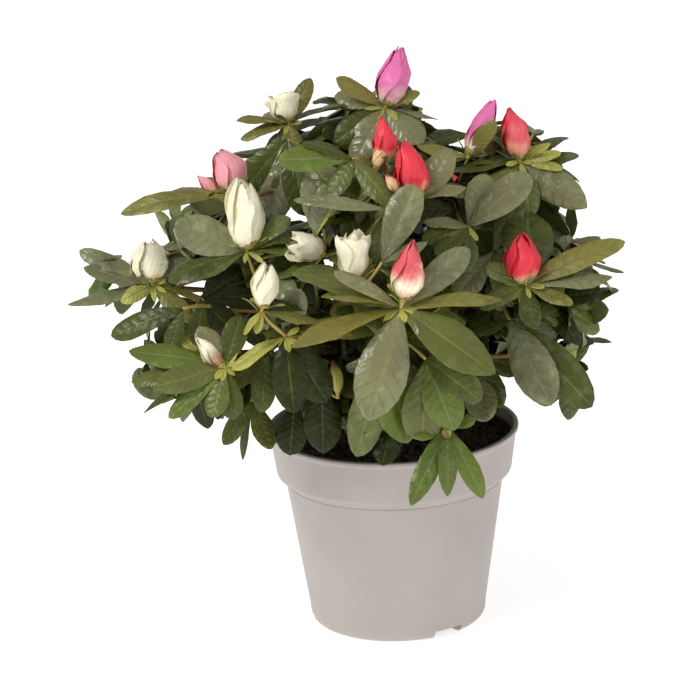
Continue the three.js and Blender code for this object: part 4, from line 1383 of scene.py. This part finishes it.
def surface_map(count, rows, places_across):
    """The map of many alike surfaces: (share along, share across)."""
    along = np.broadcast_to(rows[None, :, None], (count, len(rows), len(places_across)))
    side = np.broadcast_to(places_across[None, None, :] / 2 + 0.5, along.shape)
    return np.stack([along, side], -1).reshape(-1, 2)


def carried(bases, terms):
    """Points of many surfaces: each one's base, plus for each of its ways a distance for every point."""
    points = bases[:, None, None]
    for distance, way in terms:
        points = points + distance[..., None] * way[:, None, None]
    return points


# A petal's rows, as shares of its length, the places across it with two more on its inner side, which of
# them are inner ones, and which are its rims
PETAL_ROWS = np.array([0.0, 0.1, 0.23, 0.37, 0.51, 0.65, 0.78, 0.89, 0.96, 1.0])
PETAL_ACROSS = np.array([-1.0, -0.5, 0.0, 0.5, 1.0, 0.45, -0.45])
PETAL_INNER = np.array([0, 0, 0, 0, 0, 1, 1])
PETAL_RIMS = [0, 4]

# Each kind of bud: the colours of its petals' foot, body and tip, and where the foot's colour starts and
# stops to give way to the body's, as shares of the way up
BUD_KINDS = {
    "red": ("peach", "red", "red", 0.04, 0.26),
    "rose": ("peach", "rose", "red", 0.06, 0.34),
    "salmon": ("cream", "rose", "rose", 0.3, 0.62),
    "pink": ("peach", "pink", "pink", 0.02, 0.36),
    "magenta": ("cream", "magenta", "magenta", -0.05, 0.36),
    "cream": ("peach", "cream", "cream", -0.08, 0.14),
    "scaly": ("scale_tip", "cream", "cream", 0.25, 0.7),
    "peach": ("scale", "peach", "rose", 0.0, 0.3),
    "scale": ("scale", "scale", "scale_tip", 0.0, 0.3),
    "husk": ("scale", "scale_tip", "scale_tip", 0.2, 0.9),
}

PETAL_SHAPE = ("turn", "length", "radius", "span", "lap", "twist", "openness", "shift", "blunt")
PetalSet = namedtuple("PetalSet", ("foot", "axis", "bend", "kind", *PETAL_SHAPE))


def petal_points(petals, thickness):
    """Petal surfaces wrapped round a bud's axis. At share s of the way up, the bud's radius swells to its
    widest at 0.4 and then closes to a point, or less far if it is blunt. A petal spans an angle that
    narrows at its rounded tip, turns with the twist on its way up, and lies further out at one rim than at
    the other, so that each laps the next. Its rims wander a little. An open petal leans outwards from
    halfway up, and the whole bud bends to one side."""
    s = PETAL_ROWS[None, :, None]
    t = PETAL_ACROSS[None, None, :]
    shape = (getattr(petals, name)[:, None, None] for name in PETAL_SHAPE)
    turn, length, radius, span, lap, twist, openness, shift, blunt = shape
    widest = 0.4
    below = 0.5 + 0.5 * np.sin(np.clip(s / widest, 0, 1) * math.pi / 2)
    above = 1.0 - (0.94 - 0.3 * blunt) * np.clip((s - widest) / (1 - widest), 0, 1) ** (1.75 + blunt)
    flare = openness * np.clip(s - 0.42, 0, 1) ** 1.3 * 2.4
    size = radius * (np.where(s < widest, below, above) + flare)
    swell = 1 + 0.07 * np.sin(shift + 7 * s + 2 * t) + 0.03 * np.sin(4 * shift + 15 * s - 3 * t)
    distance = size * swell * (1 + lap * t) - PETAL_INNER * thickness
    narrowing = np.sqrt(np.clip(1 - (np.clip(s - 0.6, 0, 1) / 0.42) ** 2, 0.02, 1))
    wander = 1 + 0.12 * np.sin(shift * 3 + 6 * s) * np.abs(t)
    angle = turn + t * span * narrowing * wander + twist * s
    height = length * s * (1 - 0.12 * openness * s)
    ragged = smooth_step(0.5, 1.0, s) * np.sin(shift * 5 + 2.5 * t) * (np.abs(t) > 0.2)
    height = height + 0.05 * length * ragged
    first = across(np.broadcast_to(np.array([0.31, 0.87, 0.2]), petals.axis.shape), petals.axis)
    ways = (petals.axis, first, np.cross(petals.axis, first), petals.bend)
    return carried(petals.foot, zip(
        (height, distance * np.cos(angle), distance * np.sin(angle), s**2 * length), ways,
    ))


def bud_petals(sites):
    """Each bud's petals: five outer ones, three inner ones, and five small scales round its foot."""
    random = np.random.default_rng(PETAL_SEED)
    kinds = tuple(BUD_KINDS)
    rows = []
    for site in sites:
        if site.bud is None:
            continue
        kind, _, _, openness = site.bud
        foot, axis, length, radius = bud_place(site)
        bend = across(random.normal(size=3), axis) * random.uniform(0.04, 0.14)
        start = random.uniform(0, 2 * math.pi)
        twist = random.uniform(0.7, 1.25)
        blunt = random.uniform(0.5, 1.0) if kind == "cream" else random.uniform(0.0, 0.35)

        def add(base, kind, turn, length, radius, span, lap, twist, openness, blunt):
            shape = (turn, length, radius, span, lap, twist, openness, random.uniform(0, 6), blunt)
            rows.append((base, axis, bend, kinds.index(kind), *shape))

        for k in range(5):
            turn = start + k * 2 * math.pi / 5 + random.uniform(-0.22, 0.22)
            tall = length * random.uniform(0.76, 1.0)
            loose = openness * random.uniform(0.5, 1.6) + random.uniform(0.0, 0.035)
            span, lap = random.uniform(0.95, 1.3), random.uniform(0.09, 0.19)
            add(foot, kind, turn, tall, radius * 0.93, span, lap, twist, loose, blunt)
        for k in range(3):
            turn = start + 0.5 + k * 2 * math.pi / 3
            tall, wide = length * 0.93, radius * 0.76
            add(foot, kind, turn, tall, wide, 1.3, 0.08, twist * 1.2, openness * 0.4, blunt)
        for k in range(0 if kind == "scale" else 5):
            turn = start + k * 2 * math.pi / 5 + random.uniform(-0.3, 0.3)
            tall, wide = length * random.uniform(0.14, 0.26), radius * random.uniform(0.5, 0.62)
            loose = random.uniform(0.0, 0.5)
            add(foot - axis * 1.5 * MM, "husk", turn, tall, wide, 0.62, 0.05, 0.2, loose, 0.0)
    return PetalSet(*(np.array(column) for column in zip(*rows)))


# Operators


class AZALEA_OT_stage(bpy.types.Operator):
    """Make the white floor, the soft lights, the pale surroundings and the camera"""

    bl_idname = "azalea.stage"
    bl_label = "Stage"

    segments = 96
    floor_thickness = 0.02
    floor_glow = 0.55
    # The place and the diameter of each light, and where they aim
    lights = {"key": ((-1.7, -1.5, 2.1), 1.05), "fill": ((1.9, -1.5, 1.2), 1.6)}
    lights_aim = Vector((0.0, 0.0, 0.18))
    # How far right of the rim's middle and above it the camera aims
    aim = (-0.021, 0.039)
    sensor_width = 36.0
    farthest = 60.0

    def execute(self, context):
        settings = context.scene.azalea_stage
        reach, foot = settings.floor_radius, -self.floor_thickness
        profile = np.array([[0.0, foot], [reach, foot], [reach, 0.0], [0.0, 0.0]])
        points = turned_points(profile, self.segments)
        finish = floor_finish(settings.floor, self.floor_glow)
        floor = make_turned("floor", points, self.segments, finish)
        for face in floor.data.polygons:
            face.use_smooth = False
        for name, (place, size) in self.lights.items():
            self.light(name, place, size, getattr(settings, name + "_power"))
        self.surroundings(context, settings.sky)
        context.scene.view_settings.view_transform = "Standard"
        self.camera(context, settings.picture)
        return {"FINISHED"}

    def surroundings(self, context, sky):
        """White all round: as bright as the sky setting to the shrub, and plain white to the camera."""
        world = bpy.data.worlds.new("pale_surroundings")
        world.use_nodes = True
        tree = world.node_tree
        lighting = tree.nodes["Background"]
        backdrop = tree.nodes.new("ShaderNodeBackground")
        for background, strength in ((lighting, sky), (backdrop, 1.0)):
            background.inputs["Color"].default_value = (1.0, 1.0, 1.0, 1.0)
            background.inputs["Strength"].default_value = strength
        seen = tree.nodes.new("ShaderNodeLightPath").outputs["Is Camera Ray"]
        either = tree.nodes.new("ShaderNodeMixShader")
        tree.links.new(seen, either.inputs["Fac"])
        tree.links.new(lighting.outputs["Background"], either.inputs[1])
        tree.links.new(backdrop.outputs["Background"], either.inputs[2])
        tree.links.new(either.outputs["Shader"], tree.nodes["World Output"].inputs["Surface"])
        context.scene.world = world

    def light(self, name, place, size, power):
        lamp = bpy.data.lights.new(name, "AREA")
        lamp.shape = "DISK"
        lamp.size = size
        lamp.energy = power
        holder = add_object(name, lamp)
        holder.location = place
        holder.rotation_euler = (self.lights_aim - Vector(place)).to_track_quat("-Z", "Y").to_euler()

    def camera(self, context, picture):
        lens = bpy.data.cameras.new("camera")
        lens.sensor_width = self.sensor_width
        lens.lens = self.sensor_width * VIEW_DISTANCE / picture
        lens.clip_end = self.farthest
        holder = add_object("camera", lens)
        holder.location = EYE
        aim = RIM_CENTRE + RIGHT * self.aim[0] + UPWARD * self.aim[1]
        turn = Vector(aim - EYE).to_track_quat("-Z", "Y").to_matrix()
        holder.rotation_euler = (turn @ Matrix.Rotation(-VIEW_ROLL, 3, "Z")).to_euler()
        context.scene.camera = holder


class AZALEA_OT_bark(bpy.types.Operator):
    """Cover the stem and the boughs of the frame with bark"""

    bl_idname = "azalea.bark"
    bl_label = "Stem and boughs"

    sides = 30
    # The seed, the wavelength and the number of the waves of the furrows, and of the broad swellings
    furrow_waves = (3, 5 * MM, 14)
    swelling_waves = (5, 16 * MM, 9)
    # The radius of the tube on which the furrows' waves are laid out, by how much its length is pressed
    # together for them, and the radius from which a limb has the full relief
    furrow_round = 6 * MM
    furrow_along = 0.28
    full_relief_radius = 7 * MM

    def execute(self, context):
        settings = context.scene.azalea_bark
        bark = bark_finish(settings)
        limbs = read_limbs()
        for name, own in (("stem_bark", limbs[:1]), ("bough_bark", limbs[1:])):
            paths = np.array([limb.path for limb in own])
            radii = np.array([limb.radii for limb in own])
            piece = make_tubes(name, self.furrowed(paths, radii, settings.relief), [bark])
            settle(piece, "bark", *(limb.name for limb in own))
        return {"FINISHED"}

    def furrowed(self, paths, radii, relief):
        """A round tube whose radius rises and falls: broad swellings along the limb, and furrows that run
        along it because their waves are short round the limb and long along it."""
        smooth = tube_points(paths, radii, self.sides)
        along = running_sum(lengths(np.diff(paths, axis=1)))[..., None]
        angle = round_steps(self.sides)
        reach = self.furrow_round
        flat = np.broadcast_arrays(np.cos(angle) * reach, np.sin(angle) * reach, along * self.furrow_along)
        furrows = ripple(np.stack(flat, -1), *self.furrow_waves)
        swelling = ripple(smooth, *self.swelling_waves)
        share = np.clip(radii / self.full_relief_radius, 0.25, 1.0)[..., None]
        uneven = radii[..., None] + relief * share * (furrows + 0.6 * swelling)
        return tube_points(paths, uneven, self.sides)


class AZALEA_OT_twigs(bpy.types.Operator):
    """Grow the twigs from the boughs' tips to the shoots"""

    bl_idname = "azalea.twigs"
    bl_label = "Twigs"

    sides = 7
    thickest = 2.0 * MM
    stalk_sides = 9
    stalk_rings = 5
    stalk_radius = 0.9 * MM

    def execute(self, context):
        settings = context.scene.azalea_bark
        crown, _, sites, twigs = plan_crown(context)
        loads = twig_loads(twigs)
        kept = clothed(twigs, grow_leaves(crown, twigs, sites, context.scene.azalea_leaf))
        twigs = [twig for twig, keep in zip(twigs, kept) if keep]
        loads = loads[kept]
        tip = settings.twig_radius
        foot_radius = np.minimum(tip * (0.95 + 0.35 * loads**0.5), self.thickest)
        end_radius = np.array([tip if twig.site is not None else tip * 1.5 for twig in twigs])
        end_radius = np.minimum(end_radius, foot_radius)
        shares = np.linspace(0, 1, TWIG_POINTS)
        radii = foot_radius[:, None] + (end_radius - foot_radius)[:, None] * shares
        paths = np.array([twig.path for twig in twigs])
        points = tube_points(paths, radii * (1 + 0.1 * ripple(paths, 8, 9 * MM)), self.sides)
        ring_share = np.repeat(np.tile(shares[:-1], len(twigs)), self.sides)
        load = np.repeat(loads, (TWIG_POINTS - 1) * self.sides)
        old = (load > 2.5) | ((load > 1.5) & (ring_share < 0.4))
        slots = [old.astype(int), (loads > 1.5).astype(int), np.zeros(len(twigs), int)]
        young = twig_finish("young_twig", settings.green_twig, 0.55)
        older = twig_finish("older_twig", settings.brown_twig, 0.75)
        settle(make_tubes("twigs", points, [young, older], slots), "bark")
        self.stalks([site for site in sites if site.bud is not None], young)
        return {"FINISHED"}

    def stalks(self, sites, rind):
        """Short stalks from the shoots' tips into the buds' feet."""
        feet = [bud_place(site) for site in sites]
        ends = np.array([foot + axis * 1.5 * MM for foot, axis, _, _ in feet])
        starts = np.array([site.base - site.axis * 1 * MM for site in sites])
        widths = np.array([radius for _, _, _, radius in feet])
        shares = np.linspace(0, 1, self.stalk_rings)[None, :, None]
        paths = starts[:, None] + (ends - starts)[:, None] * shares
        radii = self.stalk_radius + shares[..., 0] ** 2 * (widths[:, None] * 0.3)
        settle(make_tubes("bud_stalks", tube_points(paths, radii, self.stalk_sides), [rind]), "bark")


class AZALEA_OT_leaves(bpy.types.Operator):
    """Put the leaves on shoots and twigs, one piece for each tier of the crown"""

    bl_idname = "azalea.leaves"
    bl_label = "Leaves"

    def execute(self, context):
        settings = context.scene.azalea_leaf
        crown, _, sites, twigs = plan_crown(context)
        leaves = grow_leaves(crown, twigs, sites, settings)
        upper = [leaf_upper("leaf_" + tone, getattr(settings, tone), *TONE_GLOSS[tone]) for tone in TONES]
        midrib = leaf_plain("leaf_midrib", settings.midrib, 0.5)
        under = leaf_plain("leaf_underside", settings.underside, 0.6)
        for tier in TIERS:
            self.piece(tier, chosen(leaves, leaves.tier == tier), settings, [*upper, midrib, under])
        return {"FINISHED"}

    def piece(self, tier, leaves, settings, materials):
        """One tier's leaves. The slots after the tones are the midrib's and the underside's."""
        count, rings = len(leaves.base), len(LEAF_ROWS)
        if not count:
            raise RuntimeError("the tier " + tier + " has no leaves")
        midrib_slot, under_slot = len(TONES), len(TONES) + 1
        tone = np.array([TONES.index(name) for name in leaves.tone])
        ribs = {name: TONES.index(rib) for name, rib in MIDRIB_TONES.items()}
        midrib = np.array([ribs.get(name, midrib_slot) for name in leaves.tone])
        choices = np.stack([tone, midrib, np.full(count, under_slot)], 1)
        parts = np.tile(LEAF_FACE_PARTS, (count, rings - 1, 1))
        slots = [choices[np.arange(count)[:, None, None], parts].ravel(), np.full(count, midrib_slot), tone]
        points = leaf_points(leaves, settings.thickness)
        uv = surface_map(count, LEAF_ROWS, LEAF_ACROSS)
        piece = make_tubes("leaves_" + tier, points, materials, slots, uv, LEAF_RIMS)
        settle(piece, "foliage", *(name for name in MASSES if name.split("_")[1] == tier))


class AZALEA_OT_buds(bpy.types.Operator):
    """Put the furled flower buds with their scales on the shoots"""

    bl_idname = "azalea.buds"
    bl_label = "Flower buds"

    thickness = 0.35 * MM

    def execute(self, context):
        settings = context.scene.azalea_bud
        petals = bud_petals(plan_crown(context)[2])
        slots = [np.repeat(petals.kind, (len(PETAL_ROWS) - 1) * len(PETAL_ACROSS)), petals.kind, petals.kind]
        uv = surface_map(len(petals.foot), PETAL_ROWS, PETAL_ACROSS)
        finishes = []
        for kind, (foot, body, tip, start, end) in BUD_KINDS.items():
            colours = [getattr(settings, name) for name in (foot, body, tip)]
            finishes.append(petal_finish("petal_" + kind, *colours, start, end))
        points = petal_points(petals, self.thickness)
        settle(make_tubes("flower_buds", points, finishes, slots, uv, PETAL_RIMS), "foliage")
        return {"FINISHED"}


class AZALEA_OT_pot(bpy.types.Operator):
    """Mould the round pot with its lip, collar, step and notched foot"""

    bl_idname = "azalea.pot"
    bl_label = "Pot"

    notch_azimuths = (-55, 65, 185)
    notch_length = 60 * MM
    # How far the cutters reach out of the pot, below it and above its floor
    overshoot = 10 * MM
    hole_sides = 40
    crisp_angle = math.radians(35)

    def execute(self, context):
        settings = context.scene.azalea_pot
        plastic = pot_plastic(settings)
        segments = settings.segments
        shell = make_turned("pot_shell", turned_points(self.outside(settings), segments), segments, plastic)
        hollow = make_turned("hollow", turned_points(self.inside(settings), segments), segments, plastic)
        wall, width, height = settings.wall, settings.notch_width, settings.notch_height
        ridges = self.spokes("ridges", settings.notch_inner - wall, width + 2 * wall, height + wall)
        self.cut(hollow, ridges)
        self.cut(shell, hollow)
        self.cut(shell, self.spokes("notches", settings.notch_inner, width, height))
        self.cut(shell, self.drain_holes(settings))
        shell.data.materials.clear()
        shell.data.materials.append(plastic)
        close_seams(shell)
        self.smooth(shell)
        settle(shell, "pot", "pot")
        return {"FINISHED"}

    def arc(self, centre, radius, start, end, steps):
        """Points of a round corner: centre plus the radius at evenly spaced angles."""
        angle = np.radians(np.linspace(start, end, steps))
        return np.stack([centre[0] + radius * np.cos(angle), centre[1] + radius * np.sin(angle)], 1)

    def bend(self, corner, before, after, steps):
        """A quadratic Bezier curve that rounds a corner between two points, given by their ways from it."""
        t = np.linspace(0, 1, steps)[:, None]
        b = np.array(corner, float)
        a, c = b + np.array(before), b + np.array(after)
        return (1 - t) ** 2 * a + 2 * (1 - t) * t * b + t**2 * c

    def outside(self, s):
        """The outer profile with round corners, from the underside's middle to the rim's inner edge."""
        top = POT_HEIGHT
        collar_top = RIM_RADIUS - s.lip_overhang
        step_top = top - s.collar_height
        step_foot = step_top - s.step_height
        lip_foot = top - s.lip_height
        lip_edge = lip_foot + 1.2 * MM
        soft = 1.1 * MM
        parts = [
            [[0.0, 0.0]],
            self.arc((s.body_foot - s.foot_corner, s.foot_corner), s.foot_corner, -90, -6, 9),
            np.linspace((s.body_foot + 0.4 * MM, 9 * MM), (s.body_top - 0.1 * MM, step_foot - soft), 12),
            self.bend((s.body_top, step_foot), (-0.3 * MM, -soft), (1.1 * MM, soft), 5),
            self.bend((s.collar_foot, step_top), (-1.1 * MM, -soft), (0.1 * MM, soft), 6),
            np.linspace((s.collar_foot + 0.3 * MM, step_top + 3 * MM),
                        (collar_top - 0.1 * MM, lip_foot - 0.6 * MM), 5),
            self.bend((collar_top, lip_foot), (-0.05 * MM, -0.4 * MM), (0.5 * MM, 0.5 * MM), 4),
            self.bend((RIM_RADIUS, lip_edge), (-0.5 * MM, -0.5 * MM), (0.0, 0.6 * MM), 4),
            self.arc((RIM_RADIUS - 0.8 * MM, top - 0.8 * MM), 0.8 * MM, 0, 90, 6),
            self.arc((collar_top - s.wall + 0.5 * MM, top - 0.5 * MM), 0.5 * MM, 90, 140, 3),
            [[0.0, top - 0.1 * MM]],
        ]
        return np.concatenate(parts)

    def inside(self, s):
        """The space inside the wall, from the middle of the floor up and out past the rim."""
        step_top = POT_HEIGHT - s.collar_height
        step_foot = step_top - s.step_height
        corner = 3.5 * MM
        floor_edge = s.body_foot - s.wall - 0.3 * MM
        mouth = RIM_RADIUS - s.lip_overhang - s.wall
        over = POT_HEIGHT + 5 * MM
        return np.concatenate([
            [[0.0, s.wall]],
            self.arc((floor_edge - corner, s.wall + corner), corner, -90, -6, 6),
            np.linspace((floor_edge + 0.6 * MM, 8 * MM), (s.body_top - s.wall, step_foot), 12),
            np.linspace((s.collar_foot - s.wall, step_top), (mouth, POT_HEIGHT - 0.4 * MM), 6),
            [[mouth + 0.1 * MM, over], [0.0, over]],
        ])

    def spokes(self, name, inner, width, top):
        """Three boxes that run outwards along the notches' azimuths, their upper edges a little rounded."""
        shape = bmesh.new()
        size = [self.notch_length, width, top + self.overshoot]
        for azimuth in self.notch_azimuths:
            made = bmesh.ops.create_cube(shape, size=1.0)["verts"]
            spots = np.array([corner.co for corner in made])
            spots = (spots + [0.5, 0, 0.5]) * size + [inner, 0, -self.overshoot]
            along_x, along_y = math.cos(math.radians(azimuth)), math.sin(math.radians(azimuth))
            round_z = np.array([[along_x, along_y, 0], [-along_y, along_x, 0], [0, 0, 1]])
            for corner, spot in zip(made, spots @ round_z):
                corner.co = spot
        upper = [edge for edge in shape.edges if all(corner.co.z > top - 1e-6 for corner in edge.verts)]
        bmesh.ops.bevel(shape, geom=upper, offset=1.0 * MM, segments=3, affect="EDGES", profile=0.5)
        bmesh.ops.recalc_face_normals(shape, faces=shape.faces)
        mesh = bpy.data.meshes.new(name)
        shape.to_mesh(mesh)
        shape.free()
        return add_object(name, mesh)

    def drain_holes(self, settings):
        """One upright cylinder through each ridge."""
        azimuths = np.radians(np.array(self.notch_azimuths, float))
        count = len(azimuths)
        feet = np.stack([np.cos(azimuths), np.sin(azimuths), np.zeros(count)], 1) * settings.hole_distance
        paths = feet[:, None] + np.array([[0, 0, -self.overshoot], [0, 0, 2 * self.overshoot]])
        radii = np.full((count, 2), settings.hole_radius)
        piece = make_tubes("drain_holes", tube_points(paths, radii, self.hole_sides), [])
        close_seams(piece)
        return piece

    def cut(self, piece, cutter):
        """Takes the cutter's space out of the piece."""
        boolean = piece.modifiers.new("cut", "BOOLEAN")
        boolean.operation = "DIFFERENCE"
        boolean.solver = "EXACT"
        boolean.object = cutter
        result = bpy.data.meshes.new_from_object(piece.evaluated_get(bpy.context.evaluated_depsgraph_get()))
        piece.modifiers.clear()
        piece.data = result
        bpy.data.objects.remove(cutter)

    def smooth(self, piece):
        """Round faces shade smoothly, and edges that turn by more than the crisp angle stay crisp."""
        shape = bmesh.new()
        shape.from_mesh(piece.data)
        for face in shape.faces:
            face.smooth = True
        for edge in shape.edges:
            edge.smooth = len(edge.link_faces) == 2 and edge.calc_face_angle(0.0) < self.crisp_angle
        shape.to_mesh(piece.data)
        shape.free()


class AZALEA_OT_peat(bpy.types.Operator):
    """Fill the pot with lumpy peat and strew crumbs on it"""

    bl_idname = "azalea.peat"
    bl_label = "Peat"

    rings = 46
    segments = 150
    # Each layer of the relief: its seed, its wavelength and its share of the height
    layers = ((2, 17 * MM, 0.5), (4, 6 * MM, 0.35), (6, 2.6 * MM, 0.22))
    crumb_rings = 5
    crumb_sides = 7

    def execute(self, context):
        settings = context.scene.azalea_peat
        peat = peat_finish(settings)
        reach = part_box("soil")[1].x
        radii = reach * np.linspace(0, 1, self.rings) ** 0.9
        top = turned_points(np.stack([radii, np.full(self.rings, PEAT_TOP)], 1), self.segments)
        uneven = sum(ripple(top, seed, wavelength) * share for seed, wavelength, share in self.layers)
        fade = 1 - smooth_step(0.94, 1.0, np.hypot(top[:, 0], top[:, 1]) / reach)
        top[:, 2] += (settings.lump_height * (uneven - 0.2)) * fade
        pot = context.scene.azalea_pot
        step_top = POT_HEIGHT - pot.collar_height
        inset = pot.wall + 0.3 * MM
        foot = 6 * MM
        side = np.array([
            [pot.collar_foot - inset, step_top],
            [pot.body_top - inset, step_top - pot.step_height],
            [pot.body_foot - inset - 0.3 * MM, 2 * foot],
            [pot.body_foot - inset - 4 * MM, foot],
            [0.0, foot],
        ])
        points = np.concatenate([top, turned_points(side, self.segments)])
        settle(make_turned("peat", points, self.segments, peat), "soil", "soil")
        self.crumbs(settings, peat, reach)
        return {"FINISHED"}

    def crumbs(self, settings, peat, reach):
        """Crumbs: small closed balls of a few rings, each stretched and dented by its own numbers, strewn
        evenly over the surface outside the stem."""
        random = np.random.default_rng(CRUMB_SEED)
        count = settings.crumbs
        distance = np.sqrt(random.uniform(0.05, 0.93, count)) * (reach - 3 * MM)
        turn = random.uniform(0, 2 * math.pi, count)
        size = settings.crumb_size * random.lognormal(0, 0.4, count)
        middle = np.stack([distance * np.cos(turn), distance * np.sin(turn), PEAT_TOP + size * 0.2], 1)
        tilt = np.linspace(0.35, math.pi - 0.35, self.crumb_rings)[:, None]
        angle = round_steps(self.crumb_sides)
        ball = np.broadcast_arrays(np.sin(tilt) * np.cos(angle), np.sin(tilt) * np.sin(angle), np.cos(tilt))
        ball = np.stack(ball, -1).reshape(1, -1, 3)
        dents = 1 + random.uniform(-0.28, 0.28, (count, ball.shape[1], 1))
        stretch = random.uniform(0.6, 1.35, (count, 1, 3))
        points = middle[:, None] + ball * dents * stretch * size[:, None, None]
        faces = [group[:, ::-1] for group in tube_faces(count, self.crumb_rings, self.crumb_sides)]
        settle(make_piece("peat_crumbs", points.reshape(-1, 3), faces, [peat]), "soil")


class AZALEA_PT_sidebar(bpy.types.Panel):
    """The shrub's pieces and their settings"""

    bl_idname = "AZALEA_PT_sidebar"
    bl_label = "Azalea"
    bl_space_type = "VIEW_3D"
    bl_region_type = "UI"
    bl_category = "Azalea"

    def draw(self, context):
        for operator, group in STEPS:
            self.layout.operator("azalea." + operator)
            settings = getattr(context.scene, "azalea_" + group)
            for name in type(settings).__annotations__:
                self.layout.prop(settings, name)


# Each operator with its settings, in the order in which they run
STEPS = (
    ("stage", "stage"), ("bark", "bark"), ("twigs", "bark"), ("leaves", "leaf"),
    ("buds", "bud"), ("pot", "pot"), ("peat", "peat"),
)
SETTINGS = {
    "azalea_pot": AzaleaPotSettings, "azalea_peat": AzaleaPeatSettings, "azalea_bark": AzaleaBarkSettings,
    "azalea_leaf": AzaleaLeafSettings, "azalea_bud": AzaleaBudSettings, "azalea_stage": AzaleaStageSettings,
}
CLASSES = (
    AZALEA_OT_stage, AZALEA_OT_bark, AZALEA_OT_twigs, AZALEA_OT_leaves,
    AZALEA_OT_buds, AZALEA_OT_pot, AZALEA_OT_peat, AZALEA_PT_sidebar,
)


def register():
    for group in SETTINGS.values():
        bpy.utils.register_class(group)
    for kind in CLASSES:
        bpy.utils.register_class(kind)
    for name, group in SETTINGS.items():
        setattr(bpy.types.Scene, name, bpy.props.PointerProperty(type=group))


def unregister():
    for name in SETTINGS:
        delattr(bpy.types.Scene, name)
    for kind in reversed(CLASSES):
        bpy.utils.unregister_class(kind)
    for group in SETTINGS.values():
        bpy.utils.unregister_class(group)


def main():
    register()
    for operator, _ in STEPS:
        getattr(bpy.ops.azalea, operator)()


if __name__ == "__main__":
    main()
